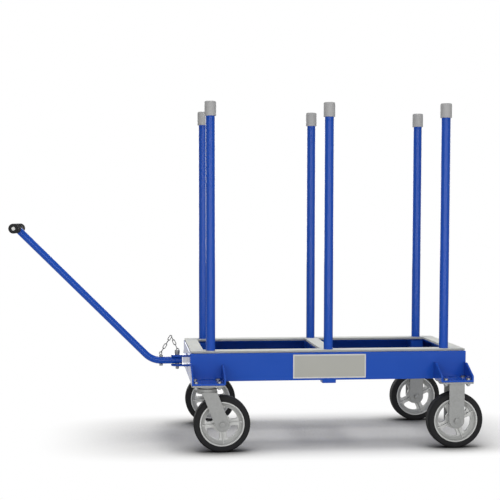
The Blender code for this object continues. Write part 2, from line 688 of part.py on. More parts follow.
def build_swivel_casters(parts, cutters):
    for side, sign in SIDES:
        centre_y = sign * CASTER_Y
        place = (SWIVEL_X, centre_y)
        name = "swivel_" + side
        plate = new_object("swivel_plate_" + side, caster_plate(*place), parts, "zinc")
        low, high = RACE_SPLIT + RACE_GAP, PLATE_BOTTOM + CASTER_PLATE / 2
        race = upright(place, RACE_UPPER_RADIUS, low, high, RACE_SIDES)
        combine(plate, new_object("race_upper_" + side, race, cutters), "UNION")
        add_caster_bolts(plate, *place, cutters)
        low, high = WHEEL_RADIUS, PLATE_TOP + OVERRUN
        bore = upright(place, KINGPIN_RADIUS + BORE_GAP, low, high, RACE_SIDES)
        bore = new_object("kingpin_bore_" + side, bore, cutters)
        combine(plate, bore, "DIFFERENCE")

        kingpin = (SWIVEL_X, centre_y, RACE_SPLIT)
        crown = upright(place, CROWN_RADIUS, CROWN_BOTTOM, CROWN_TOP, RACE_SIDES)
        fork = new_object("swivel_fork_" + side, crown, parts, "zinc", kingpin)
        race = upright(place, RACE_LOWER_RADIUS, CROWN_TOP - CROWN_THICKNESS / 2, RACE_SPLIT, RACE_SIDES)
        combine(fork, new_object("race_lower_" + side, race, cutters), "UNION")
        top_x = SWIVEL_X + SWIVEL_LEG_SHIFT
        axle_x = SWIVEL_X + SWIVEL_LEAD
        bridge_half = SWIVEL_LEG_HALF
        bridge_low = (top_x - bridge_half, centre_y - LEG_OUTER + FORK_WALL / 2, CROWN_BOTTOM)
        bridge_high = (top_x + bridge_half, centre_y + LEG_OUTER - FORK_WALL / 2, CROWN_TOP - SEAT_GAP)
        combine(fork, new_object("fork_bridge_" + side, box(bridge_low, bridge_high), cutters), "UNION")
        leg_top = CROWN_TOP - 2 * SEAT_GAP
        legs = fork_legs(top_x, leg_top, axle_x, SWIVEL_LEG_HALF, centre_y)
        for number, leg in enumerate(legs, 1):
            combine(fork, new_object("swivel_leg_%s_%d" % (side, number), leg, cutters), "UNION")
        combine(fork, bore, "DIFFERENCE")
        combine(fork, axle_bore("swivel_axle_bore_" + side, axle_x, centre_y, cutters), "DIFFERENCE")

        nut_top = CROWN_BOTTOM - SEAT_GAP
        pin_mesh = upright(place, KINGPIN_RADIUS, nut_top - KINGPIN_NUT / 2, PLATE_TOP, RACE_SIDES)
        pin = new_object("kingpin_" + side, pin_mesh, parts, "zinc")
        nut = upright(place, KINGPIN_HEX, nut_top - KINGPIN_NUT, nut_top, 6)
        combine(pin, new_object("kingpin_nut_" + side, nut, cutters), "UNION")

        centre = (axle_x, centre_y, WHEEL_RADIUS)
        core = build_wheel(name, centre, math.radians(5), parts, cutters)
        attach(core, fork)
        attach(build_axle(name, axle_x, centre_y, parts, cutters), fork)


def handle_route():
    """The tow tube's centre line in the plane Y = 0, from its tail at the hitch to the cross bar."""
    turn = math.radians(180) - HANDLE_SLOPE
    tangent = BEND_RADIUS * math.tan(HANDLE_SLOPE / 2)
    centre = (BEND_X + tangent, RAIL_MIDDLE + BEND_RADIUS)
    bend = arc(centre, BEND_RADIUS, math.radians(270), math.radians(90) + turn)
    flat = [(PIN_X + TUBE_TAIL, RAIL_MIDDLE)] + bend + [(BAR_X, BAR_Z)]
    return [(x, 0, z) for x, z in flat]


def build_handle(parts, cutters):
    pivot = (PIN_X, 0, RAIL_MIDDLE)
    route = handle_route()
    tube = new_object("handle_tube", curve_mesh(route, depth=TUBE_RADIUS), parts, "blue_paint", pivot)
    tail = Vector(route[0]) + Vector((OVERRUN, 0, 0))
    bore = curve_mesh([tail] + route[1:], depth=TUBE_RADIUS - TUBE_WALL)
    combine(tube, new_object("handle_bore", bore, cutters), "DIFFERENCE")
    bar = cylinder((BAR_X, 0, BAR_Z), TUBE_RADIUS, 2 * BAR_HALF, "Y", POST_SIDES)
    combine(tube, new_object("handle_bar", bar, cutters), "UNION")
    low, high = RAIL_MIDDLE - 2 * TUBE_RADIUS, RAIL_MIDDLE + 2 * TUBE_RADIUS
    holes = [
        upright((PIN_X, 0), PIN_RADIUS + BORE_GAP, low, high, RACE_SIDES),
        upright((TETHER_X, 0), TETHER_RADIUS + BORE_GAP, low, high, BOLT_SIDES),
    ]
    combine(tube, new_object("handle_holes", join_meshes(holes), cutters), "DIFFERENCE")

    outer_end = BAR_HALF + SEAT_GAP + GRIP_END
    inner_end = TUBE_RADIUS + GRIP_SPACE
    profile = [
        (GRIP_HOLE, outer_end), (GRIP_RADIUS - GRIP_END, outer_end), (GRIP_RADIUS, outer_end - GRIP_END),
        (GRIP_RADIUS, inner_end), (GRIP_BORE, inner_end),
        (GRIP_BORE, outer_end - GRIP_END), (GRIP_HOLE, outer_end - GRIP_END),
    ]
    for side, sign in SIDES:
        facing = Matrix.Rotation(math.radians(-90) * sign, 4, "X")
        place = Matrix.Translation((BAR_X, 0, BAR_Z)) @ facing
        grip_mesh = turned(profile, POST_SIDES, True, place)
        grip = new_object("grip_" + side, grip_mesh, parts, "grip", (BAR_X, sign * outer_end, BAR_Z))
        smooth(grip)
        attach(grip, tube)
    return tube


def build_hitch(parts, cutters):
    """Two plates on the frame's end, over and under the tow tube, with a bore for the drop pin."""
    quarter = math.radians(90)
    half = HITCH_HALF_WIDTH
    root_x = HITCH_X - SEAT_GAP
    points = [(root_x, half)] + arc((PIN_X, 0), half, quarter, 3 * quarter, 2 * ARC_STEPS) + [(root_x, -half)]
    middle = PLATE_INNER + HITCH_PLATE / 2
    low, high = RAIL_MIDDLE - 2 * middle, RAIL_MIDDLE + 2 * middle
    bore_mesh = upright((PIN_X, 0), PIN_RADIUS + BORE_GAP, low, high, RACE_SIDES)
    bore = new_object("hitch_bore", bore_mesh, cutters)
    for name, sign in (("hitch_plate_lower", -1), ("hitch_plate_upper", 1)):
        place = Matrix.Translation((0, 0, RAIL_MIDDLE + sign * middle))
        plate = new_object(name, outline(points, HITCH_PLATE, place), parts, "blue_paint")
        combine(plate, bore, "DIFFERENCE")


def eye(centre):
    """A round wire eye that stands in the plane Y = 0."""
    bpy.ops.mesh.primitive_torus_add(
        major_radius=EYE_RADIUS, minor_radius=LINK_WIRE,
        major_segments=2 * ARC_STEPS, minor_segments=BOLT_SIDES,
    )
    obj = bpy.context.object
    mesh = obj.data
    bpy.data.objects.remove(obj)
    mesh.transform(Matrix.Translation(centre) @ ACROSS_Y)
    return mesh


def chain_joints():
    """Where neighbouring links meet, from the tether bolt's eye over the top of the arch to the pin's eye.

    The arch is a triangle whose two sides are whole numbers of links.
    """
    plate_top = RAIL_MIDDLE + PLATE_INNER + HITCH_PLATE
    lift = LINK_WIRE + SEAT_GAP / 2 - EYE_RADIUS
    start = Vector((TETHER_X, 0, RAIL_MIDDLE + TUBE_RADIUS + TETHER_NUT + EYE_STAND + EYE_RADIUS - lift))
    end = Vector((PIN_X, 0, plate_top + SEAT_GAP + PIN_HEAD + EYE_STAND - lift))
    base = end - start
    up, down = LINKS_UP * LINK_PITCH, LINKS_DOWN * LINK_PITCH
    along = (up ** 2 - down ** 2 + base.length_squared) / (2 * base.length)
    height = math.sqrt(up ** 2 - along ** 2)
    direction = base.normalized()
    top = start + direction * along + Vector((-direction.z, 0, direction.x)) * height
    rising = [start.lerp(top, step / LINKS_UP) for step in range(LINKS_UP)]
    falling = [top.lerp(end, step / LINKS_DOWN) for step in range(LINKS_DOWN + 1)]
    return rising + falling


def build_pin_and_chain(parts, cutters, tube):
    joints = chain_joints()
    reach = LINK_WIRE + SEAT_GAP / 2
    tether_eye = joints[0] + (joints[1] - joints[0]).normalized() * (reach - EYE_RADIUS)
    pin_eye = joints[-1] + (joints[-2] - joints[-1]).normalized() * (reach - EYE_RADIUS)

    plate_top = RAIL_MIDDLE + PLATE_INNER + HITCH_PLATE
    plate_bottom = RAIL_MIDDLE - PLATE_INNER - HITCH_PLATE
    head_bottom = plate_top + SEAT_GAP
    head_top = head_bottom + PIN_HEAD
    tip = plate_bottom - PIN_TAIL
    profile = [
        (0, head_top), (PIN_HEAD_RADIUS - PIN_TIP / 2, head_top), (PIN_HEAD_RADIUS, head_top - PIN_TIP / 2),
        (PIN_HEAD_RADIUS, head_bottom), (PIN_RADIUS, head_bottom), (PIN_RADIUS, tip + PIN_TIP),
        (PIN_RADIUS - PIN_TIP, tip), (0, tip),
    ]
    move = Matrix.Translation((PIN_X, 0, 0))
    pin_mesh = turned(profile, RACE_SIDES, False, move)
    pin = new_object("hitch_pin", pin_mesh, parts, "zinc", (PIN_X, 0, RAIL_MIDDLE))
    combine(pin, new_object("hitch_pin_eye", eye(pin_eye), cutters), "UNION")
    attach(pin, tube)

    tube_top = RAIL_MIDDLE + TUBE_RADIUS
    tube_bottom = RAIL_MIDDLE - TUBE_RADIUS
    place = (TETHER_X, 0)
    stem_top = tether_eye.z - EYE_RADIUS + LINK_WIRE / 2
    stem = upright(place, TETHER_RADIUS, tube_bottom - TETHER_NUT, stem_top, BOLT_SIDES)
    bolt = new_object("tether_bolt", stem, parts, "zinc", (TETHER_X, 0, RAIL_MIDDLE))
    low, high = tube_bottom - SEAT_GAP - TETHER_NUT, tube_bottom - SEAT_GAP
    combine(bolt, new_object("tether_head", upright(place, TETHER_HEX, low, high, 6), cutters), "UNION")
    low, high = tube_top + SEAT_GAP, tube_top + SEAT_GAP + TETHER_NUT
    combine(bolt, new_object("tether_nut", upright(place, TETHER_HEX, low, high, 6), cutters), "UNION")
    combine(bolt, new_object("tether_eye", eye(tether_eye), cutters), "UNION")
    attach(bolt, tube)

    build_chain(parts, cutters, joints, tube)


def build_chain(parts, cutters, joints, tube):
    """Oval links that stand in turn in the plane Y = 0 and across it, each fused to the next."""
    quarter = math.radians(90)
    free = LINK_WIRE + SEAT_GAP / 2
    fused = LINK_WIRE * LINK_WELD_SHARE
    last = len(joints) - 2
    chain = None
    for number in range(last + 1):
        run = joints[number + 1] - joints[number]
        before = free if number == 0 else fused
        after = free if number == last else fused
        straight = (run.length + before + after) / 2 - LINK_HALF_WIDTH
        loop = arc((straight, 0), LINK_HALF_WIDTH, -quarter, quarter, LINK_ARC_STEPS)
        loop += arc((-straight, 0), LINK_HALF_WIDTH, quarter, 3 * quarter, LINK_ARC_STEPS)
        middle = (joints[number] + joints[number + 1]) / 2 + run.normalized() * (after - before) / 2
        lean = Matrix.Rotation(-math.atan2(run.z, run.x), 4, "Y")
        roll = Matrix.Rotation(quarter * (number % 2), 4, "X")
        place = Matrix.Translation(middle) @ lean @ roll
        route = [(x, y, 0) for x, y in loop]
        mesh = curve_mesh(route, cyclic=True, depth=LINK_WIRE, resolution=1, matrix=place)
        if chain is None:
            chain = new_object("tether_chain", mesh, parts, "steel", tuple(joints[0]))
        else:
            combine(chain, new_object("tether_link_%d" % number, mesh, cutters), "UNION")
    attach(chain, tube)


def main():
    clear_scene()
    parts = new_collection("slab_dolly")
    cutters = new_collection("slab_dolly_cutters")
    build_side_rails(parts, cutters)
    build_end_rails(parts, cutters)
    build_cross_rail(parts, cutters)
    build_sockets(parts, cutters)
    build_linings(parts, cutters)
    build_posts(parts)
    build_brackets(parts, cutters)
    build_swivel_casters(parts, cutters)
    build_rigid_casters(parts, cutters)
    build_hitch(parts, cutters)
    tube = build_handle(parts, cutters)
    build_pin_and_chain(parts, cutters, tube)


main()
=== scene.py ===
import json
import math

import bmesh
import bpy
from bpy.props import FloatProperty, FloatVectorProperty, IntProperty, PointerProperty
from bpy.types import Operator, Panel, PropertyGroup
from mathutils import Matrix, Vector

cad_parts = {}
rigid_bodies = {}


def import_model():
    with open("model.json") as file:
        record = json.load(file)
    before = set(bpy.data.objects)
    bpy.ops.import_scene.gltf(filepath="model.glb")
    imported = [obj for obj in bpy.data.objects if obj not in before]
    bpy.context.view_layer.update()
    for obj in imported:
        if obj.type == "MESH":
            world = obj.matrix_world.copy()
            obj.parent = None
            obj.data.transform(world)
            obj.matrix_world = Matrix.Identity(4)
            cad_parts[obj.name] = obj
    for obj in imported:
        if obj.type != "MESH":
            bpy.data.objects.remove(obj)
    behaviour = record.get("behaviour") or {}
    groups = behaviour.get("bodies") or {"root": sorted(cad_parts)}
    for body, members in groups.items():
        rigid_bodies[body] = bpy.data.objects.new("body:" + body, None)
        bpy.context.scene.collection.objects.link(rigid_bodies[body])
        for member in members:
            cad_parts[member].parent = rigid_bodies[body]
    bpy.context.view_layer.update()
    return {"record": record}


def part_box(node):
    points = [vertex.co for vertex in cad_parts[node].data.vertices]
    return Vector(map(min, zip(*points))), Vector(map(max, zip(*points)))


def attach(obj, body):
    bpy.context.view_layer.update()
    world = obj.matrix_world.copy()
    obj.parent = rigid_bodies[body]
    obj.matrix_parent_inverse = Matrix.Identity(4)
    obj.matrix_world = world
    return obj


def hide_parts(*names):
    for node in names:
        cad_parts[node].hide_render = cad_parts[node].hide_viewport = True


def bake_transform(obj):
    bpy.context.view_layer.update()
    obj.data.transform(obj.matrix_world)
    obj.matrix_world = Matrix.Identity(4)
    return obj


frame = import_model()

bl_info = {
    "name": "Slab Dolly",
    "version": (1, 0, 0),
    "blender": (4, 5, 0),
    "location": "View3D > Sidebar > Slab Dolly",
    "description": "Dresses the slab dolly: painted steel frame, cast wheels, posts, tow handle and stage",
    "category": "Object",
}

SIDES = (("near", -1), ("far", 1))
ENDS = (("hitch", -1), ("rear", 1))
CORNERS = [(end, side, sign) for end, _ in ENDS for side, sign in SIDES]
CASTERS = [(kind, side) for kind in ("swivel", "rigid") for side, _ in SIDES]
POSTS = ["%s_%d" % (side, number) for side, _ in SIDES for number in (1, 2, 3)]
QUARTER = math.radians(90)
TURN = math.radians(360)
ACROSS_X = Matrix(((0, 0, 1, 0), (1, 0, 0, 0), (0, 1, 0, 0), (0, 0, 0, 1)))
ACROSS_Y = Matrix.Rotation(QUARTER, 4, "X")
# The solids keep this clearance between pieces that touch, and the dressed pieces keep it too.
GAP = 0.0003
# Each finish: its slot in the record, its colour in DollyColours and its shader values.
FINISHES = {
    "Blue paint": ("blue_paint", "paint", dict(
        roughness=0.16, patch=5, grain=620, bump=0.025, marks=0.02, mark_colour=(0.02, 0.085, 0.40),
        specular=0.125)),
    "Lining": ("lining", "lining", dict(
        roughness=0.72, patch=9, grain=300, bump=0.30, mark_colour=(0.45, 0.45, 0.42), stretch=(0.12, 1, 1))),
    "Zinc": ("zinc", "zinc", dict(
        roughness=0.45, metallic=0.2, tone=0.14, patch=22, grain=420, bump=0.12,
        mark_colour=(0.30, 0.31, 0.30), spangle=0.10)),
    "Cast core": ("cast_iron", "core", dict(
        roughness=0.48, metallic=0.2, tone=0.12, patch=18, grain=260, bump=0.30, marks=0.12,
        mark_colour=(0.34, 0.35, 0.34), spangle=0.06)),
    "Tyre rubber": ("tyre", "tyre", dict(
        roughness=0.78, tone=0.5, patch=16, grain=520, bump=0.25, marks=0.25,
        mark_colour=(0.030, 0.030, 0.031), specular=0.2)),
    "Grip rubber": ("grip", "grip", dict(
        roughness=0.55, tone=0.3, patch=30, grain=700, bump=0.2, mark_colour=(0.02, 0.02, 0.02),
        specular=0.15)),
    "Post cap": ("cap", "cap", dict(roughness=0.55, tone=0.08, patch=24, bump=0.12, marks=0.05)),
    "Chain steel": ("steel", "steel", dict(
        roughness=0.34, metallic=0.8, tone=0.3, patch=60, grain=600, mark_colour=(0.2, 0.2, 0.2))),
    "Bolt zinc": ("zinc", "bolt", dict(
        roughness=0.28, metallic=0.7, tone=0.2, patch=60, grain=600, marks=0.05)),
    "Plate face": ("lining", "plate", dict(
        roughness=0.45, metallic=0.2, tone=0.05, patch=8, grain=600, bump=0.05, marks=0.04,
        stretch=(0.1, 1, 1))),
    "Plate border": ("zinc", "border", dict(
        roughness=0.40, metallic=0.2, tone=0.05, patch=8, grain=600, bump=0.05, marks=0.04)),
}
BODIES = {node: body for body, nodes in frame["record"]["behaviour"]["bodies"].items() for node in nodes}


def colour_of(slot):
    """The record's colour for a material slot."""
    return next(m["base_color"][:3] for m in frame["record"]["materials"] if m["slot"] == slot)


def length(name, default, description):
    return FloatProperty(name=name, description=description, default=default, min=0, precision=5,
                         subtype="DISTANCE", unit="LENGTH")


def colour(name, default, description):
    return FloatVectorProperty(name=name, description=description, default=default, min=0, max=1, size=3,
                               subtype="COLOR")


def power(name, default, description):
    return FloatProperty(name=name, description=description, default=default, min=0, unit="POWER")


def strength(name, default, description):
    return FloatProperty(name=name, description=description, default=default, min=0, max=2)


class DollyColours(PropertyGroup):
    """Colours of the dolly's finishes."""
    paint: colour("Blue paint", (0.0125, 0.070, 0.395), "Frame, brackets, posts and handle")
    lining: colour("Lining", (0.86, 0.87, 0.81), "Boards on top of the frame")
    zinc: colour("Zinc", (0.245, 0.249, 0.245), "Forks and caster plates")
    core: colour("Cast core", (0.47, 0.475, 0.465), "Wheel cores")
    tyre: colour("Tyre", colour_of("tyre"), "Tyre rubber")
    grip: colour("Grip", colour_of("grip"), "Handle grips")
    cap: colour("Post cap", (0.36, 0.36, 0.36), "Caps on the posts")
    steel: colour("Chain steel", (0.12, 0.12, 0.118), "Tether chain")
    bolt: colour("Bolt zinc", (0.26, 0.265, 0.27), "Bolt heads and nuts")
    plate: colour("Plate face", (0.29, 0.29, 0.264), "Blank plate on the near side rail")
    border: colour("Plate border", (0.45, 0.45, 0.43), "Raised border of the blank plate")


class FrameSizes(PropertyGroup):
    """Sizes of the rails, boards and brackets that the frame's own box doesn't give."""
    wall: length("Rail wall", 0.0048, "Thickness of the channel rails")
    fillet: length("Channel corner", 0.0024, "Outer corner radius of a channel")
    edge: length("Plate edge", 0.0008, "Rounding of cut plate edges")
    board_edge: length("Board edge", 0.0015, "Rounding of the lining boards")
    corner: length("Plate corner", 0.002, "Corner radius of boards and plates")
    socket_wall: length("Socket wall", 0.00635, "Wall of the square post sockets")
    drain: length("Socket drain", 0.006, "Radius of the drain in a socket's floor")
    bracket: length("Bracket plate", 0.00635, "Thickness of the outrigger brackets")
    toe: length("Gusset toe", 0.0155, "Height of a gusset at its tip, over the plate")
    land: length("Gusset land", 0.022, "Length of a gusset's level top at the rail")
    rise: length("Gusset rise", 0.0545, "Height of a gusset at the rail, over the plate")
    weld: length("Weld bead", 0.0019, "Radius of a weld ripple")
    weld_pitch: length("Weld pitch", 0.0024, "Distance between weld ripples")


class WheelSizes(PropertyGroup):
    """Sizes of the wheels, forks and fasteners."""
    tyre: length("Tyre thickness", 0.0216, "From the core's rim to the tread")
    shoulder: length("Tyre shoulder", 0.0080, "Rounding between tread and side wall")
    rim: length("Rim depth", 0.014, "Depth of the core's rim")
    web: length("Web thickness", 0.012, "Thickness of the spoked web")
    hub: length("Hub radius", 0.0225, "Radius of the core's hub")
    spoke: length("Spoke width", 0.024, "Width of a spoke between two windows")
    rib: length("Spoke rib", 0.004, "Thickness of the rib along a spoke")
    axle: length("Axle radius", 0.00635, "Radius of the axle bolts")
    bore: length("Axle bore", 0.00675, "Radius of the axle's holes in core and fork")
    fork_wall: length("Fork wall", 0.005, "Thickness of the fork legs")
    top_plate: length("Top plate", 0.00635, "Thickness of a caster's top plate and crown")
    kingpin: length("Kingpin radius", 0.009, "Radius of the kingpins")
    race: length("Race height", 0.011, "Height of the lower race over the crown")
    hexagon: length("Bolt hexagon", 0.0082, "Corner radius of the caster bolts")
    segments: IntProperty(name="Segments", description="Sides of a turned piece", default=96, min=24, max=192)


class HandleSizes(PropertyGroup):
    """Sizes of the posts, handle, drop pin and chain."""
    pipe: length("Post radius", 0.0167, "Outer radius of a post")
    pipe_wall: length("Post wall", 0.0034, "Wall of a post")
    cap_edge: length("Cap edge", 0.0042, "Rounding of a cap's top")
    tube: length("Tow tube radius", 0.01335, "Outer radius of the tow tube")
    tube_wall: length("Tow tube wall", 0.00295, "Wall of the cross bar")
    bend: length("Bend radius", 0.082, "Centre line radius of the tow tube's bend")
    pin: length("Drop pin radius", 0.00635, "Radius of the drop pin")
    stem: length("Tether bolt radius", 0.0032, "Radius of the tether bolt")
    eye: length("Eye radius", 0.005, "Radius of the eyes of pin and tether bolt")
    wire: length("Link wire", 0.0015, "Radius of the chain's wire")
    link: length("Link half width", 0.0045, "From a link's middle to the wire's middle")
    pitch: length("Link pitch", 0.0184, "Distance between the chain's joints")
    ribs: IntProperty(name="Grip rings", description="Moulded rings on each grip", default=22, min=1, max=40)


class StageLook(PropertyGroup):
    """Floor and light."""
    floor: colour("Floor", (0.93, 0.92, 0.90), "Pale floor under the dolly")
    top: power("Top light", 225, "Power of the soft box overhead")
    wash: power("Floor light", 80, "Power of the light on the floor alone")
    front: power("Front light", 255, "Power of the low panel in front")
    rear: power("Rear light", 140, "Power of the panel behind")
    room: strength("Room light", 0.05, "Strength of the even light")
    back: strength("Backdrop light", 0.60, "Strength of the bright backdrop")


class Box:
    """The box of a CAD piece: its corners, middle and size."""

    def __init__(self, node):
        self.low, self.high = (Vector(corner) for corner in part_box(node))
        self.middle = (self.low + self.high) / 2
        self.size = self.high - self.low

    def face(self, axis, sign):
        """Where the box ends along an axis: on its low side for a negative sign, else on its high side."""
        return getattr(self.low if sign < 0 else self.high, axis)


def tow_level():
    """Height of the tow tube's middle line, halfway between the hitch plates."""
    return (Box("hitch_plate_lower").high.z + Box("hitch_plate_upper").low.z) / 2


def at(x=0, y=0, z=0):
    return Matrix.Translation((x, y, z))


def put(name, mesh):
    obj = bpy.data.objects.new(name, mesh)
    bpy.context.scene.collection.objects.link(obj)
    return obj


def plain_mesh(obj):
    """Turns an object's evaluated shape into a plain mesh and removes the object."""
    bpy.context.view_layer.update()
    mesh = bpy.data.meshes.new_from_object(obj.evaluated_get(bpy.context.evaluated_depsgraph_get()))
    bpy.data.objects.remove(obj)
    return mesh


def written(work, mesh=None):
    """Writes a bmesh into a mesh, a new one unless it is given, and frees it."""
    mesh = mesh or bpy.data.meshes.new("mesh")
    work.to_mesh(mesh)
    work.free()
    return mesh


def sewn(mesh):
    """Merges a mesh's doubled points and turns its faces outwards."""
    work = bmesh.new()
    work.from_mesh(mesh)
    bmesh.ops.remove_doubles(work, verts=work.verts, dist=1e-6)
    bmesh.ops.recalc_face_normals(work, faces=work.faces)
    return written(work, mesh)


def joined(meshes):
    work = bmesh.new()
    for mesh in meshes:
        work.from_mesh(mesh)
        bpy.data.meshes.remove(mesh)
    return written(work)


def points_mesh(points, edges=()):
    mesh = bpy.data.meshes.new("points")
    mesh.from_pydata([tuple(point) for point in points], list(edges), [])
    return mesh


def dress(name, mesh, finish, *nodes, body=None, angle=38, between=None):
    """Makes a piece of a mesh that is drawn in place, paints it and hides its nodes. It rides its body, or
    stays fixed where it is drawn when it lies between two bodies.
    """
    mesh.name = name
    mesh.materials.clear()
    mesh.materials.append(bpy.data.materials[finish])
    mesh.shade_smooth()
    mesh.set_sharp_from_angle(angle=math.radians(angle))
    shaded = put(name, mesh)
    shaded.modifiers.new("Flat faces stay flat", "WEIGHTED_NORMAL").keep_sharp = True
    mesh = plain_mesh(shaded)
    mesh.name = name
    piece = put(name, mesh)
    if between:
        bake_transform(piece)
    else:
        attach(piece, body or BODIES[nodes[0]])
    if nodes:
        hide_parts(*nodes)
    return piece


def arc(centre, radius, start, end, steps=16):
    angles = [start + (end - start) * step / steps for step in range(steps + 1)]
    return [(centre[0] + radius * math.cos(a), centre[1] + radius * math.sin(a)) for a in angles]


def circle(centre, radius, steps=48):
    return arc(centre, radius, 0, TURN, steps)[:-1]


def mirrored(points):
    """A closed outline that is the same above and below the X axis, from its upper half."""
    return points + [(x, -y, *radius) for x, y, *radius in reversed(points) if y]


def rounded(points, steps=5):
    """Rounds the corners of a closed outline: a corner is (x, y) when sharp and (x, y, radius) when round."""
    result = []
    for number, (x, y, *radius) in enumerate(points):
        if not radius or not radius[0]:
            result.append((x, y))
            continue
        here = Vector((x, y))
        before = (Vector(points[number - 1][:2]) - here).normalized()
        after = (Vector(points[(number + 1) % len(points)][:2]) - here).normalized()
        half = before.angle(after) / 2
        reach = radius[0] / math.tan(half)
        centre = here + (before + after).normalized() * (radius[0] / math.sin(half))
        first, last = here + before * reach - centre, here + after * reach - centre
        result += [tuple(centre + first.slerp(last, step / steps) * radius[0]) for step in range(steps + 1)]
    return result


def rectangle(low, high, radius=0, inset=0):
    """A rectangle between two corners, drawn in by an inset, with its own corners rounded."""
    left, bottom = (value + inset for value in low)
    right, top = (value - inset for value in high)
    corners = [(left, bottom), (right, bottom), (right, top), (left, top)]
    return rounded([(x, y, radius) for x, y in corners])


def curve_mesh(loops, **settings):
    """The mesh of a curve with the given settings through closed loops of points."""
    curve = bpy.data.curves.new("curve", "CURVE")
    for key, value in settings.items():
        setattr(curve, key, value)
    for loop in loops:
        spline = curve.splines.new("POLY")
        spline.points.add(len(loop) - 1)
        for point, place in zip(spline.points, loop):
            point.co = (*place, 1)
        spline.use_cyclic_u = True
    return sewn(plain_mesh(put("curve", curve)))


def flat(loops, thickness, edge, place):
    """A plate with eased edges. The first loop is its outline, and the others are holes."""
    mesh = curve_mesh([[(x, y, 0) for x, y in loop] for loop in loops], dimensions="2D", fill_mode="BOTH",
                      extrude=thickness / 2 - edge, bevel_depth=edge, bevel_resolution=1, offset=-edge)
    mesh.transform(place)
    return mesh


def slab(loops, low, high, edge, middle=(0, 0)):
    """A level plate from one height to another, with its loops drawn about a middle."""
    return flat(loops, high - low, edge, at(middle[0], middle[1], (low + high) / 2))


def eye(centre, radius, wire):
    """An upright ring of round wire."""
    loop = [(centre.x + x, centre.y, centre.z + z) for x, z in circle((0, 0), radius, 32)]
    return curve_mesh([loop], dimensions="3D", bevel_depth=wire, bevel_resolution=4)


def turned(corners, place, segments=64, steps=4):
    """Turns (radius, height, rounding) corners about Z. A profile from axis to axis closes there."""
    profile = rounded(corners, steps)
    work = bmesh.new()
    points = [work.verts.new((radius, 0, height)) for radius, height in profile]
    pairs = list(zip(points, points[1:]))
    if min(profile[0][0], profile[-1][0]) > 0:
        pairs.append((points[-1], points[0]))
    edges = [work.edges.new(pair) for pair in pairs]
    bmesh.ops.spin(work, geom=points + edges, axis=(0, 0, 1), cent=(0, 0, 0), angle=TURN, steps=segments)
    mesh = sewn(written(work))
    mesh.transform(place)
    return mesh


def disc(radius, low, high, edge, place, segments=64):
    """A solid turned disc from one height to another, with eased rims."""
    return turned([(0, low), (radius, low, edge), (radius, high, edge), (0, high)], place, segments, 3)


def sleeve(inner, outer, low, high, inner_edge, outer_edge):
    """The profile of a plain pipe, with its own easing inside and outside."""
    outside = [(outer, low, outer_edge), (outer, high, outer_edge)]
    return outside + [(inner, high, inner_edge), (inner, low, inner_edge)]


class Nodes:
    """Puts a node tree together, one node at a time."""

    def __init__(self, tree):
        self.tree = tree

    def fill(self, node, inputs):
        """Gives a node its inputs: a socket is linked, and anything else is set."""
        for key, value in inputs.items():
            if isinstance(value, bpy.types.NodeSocket):
                self.tree.links.new(value, node.inputs[key])
            else:
                node.inputs[key].default_value = value
        return node

    def add(self, kind, inputs=None, **settings):
        node = self.tree.nodes.new(kind)
        for key, value in settings.items():
            setattr(node, key, value)
        return self.fill(node, inputs or {})

    def maths(self, operation, *values, clamp=False):
        node = self.add("ShaderNodeMath", dict(enumerate(values)), operation=operation, use_clamp=clamp)
        return node.outputs[0]

    def vector(self, operation, *values, **named):
        inputs = {**dict(enumerate(values)), **named}
        return self.add("ShaderNodeVectorMath", inputs, operation=operation).outputs[0]

    def ramp(self, value, start, end):
        """A smooth run from 0 at the start to 1 at the end, whichever of the two is higher."""
        low, high = sorted((start, end))
        rising = float(start < end)
        inputs = {"Value": value, "From Min": low, "From Max": high, "To Min": 1 - rising, "To Max": rising}
        return self.add("ShaderNodeMapRange", inputs, interpolation_type="SMOOTHSTEP").outputs[0]

    def shared(self, name, inputs):
        """Places a shared group and returns its outputs."""
        return self.add("ShaderNodeGroup", inputs, node_tree=bpy.data.node_groups[name]).outputs

    def output(self, kind, share, first, second):
        """Ends a material or world in a mix of two shaders."""
        mix = self.add("ShaderNodeMixShader", {0: share, 1: first.outputs[0], 2: second.outputs[0]})
        self.add("ShaderNodeOutput" + kind, {0: mix.outputs[0]})


class NodeGroup(Nodes):
    """A node group with its sockets: each is (name, type), or (name, type, default)."""

    def __init__(self, name, kind, inputs, outputs):
        super().__init__(bpy.data.node_groups.new(name, kind))
        new_socket = self.tree.interface.new_socket
        for way, sockets in (("INPUT", inputs), ("OUTPUT", outputs)):
            for label, sort, *default in sockets:
                socket = new_socket(name=label, in_out=way, socket_type="NodeSocket" + sort)
                if default:
                    socket.default_value = default[0]
        self.given = self.tree.nodes.new("NodeGroupInput").outputs
        self.sink = self.tree.nodes.new("NodeGroupOutput")


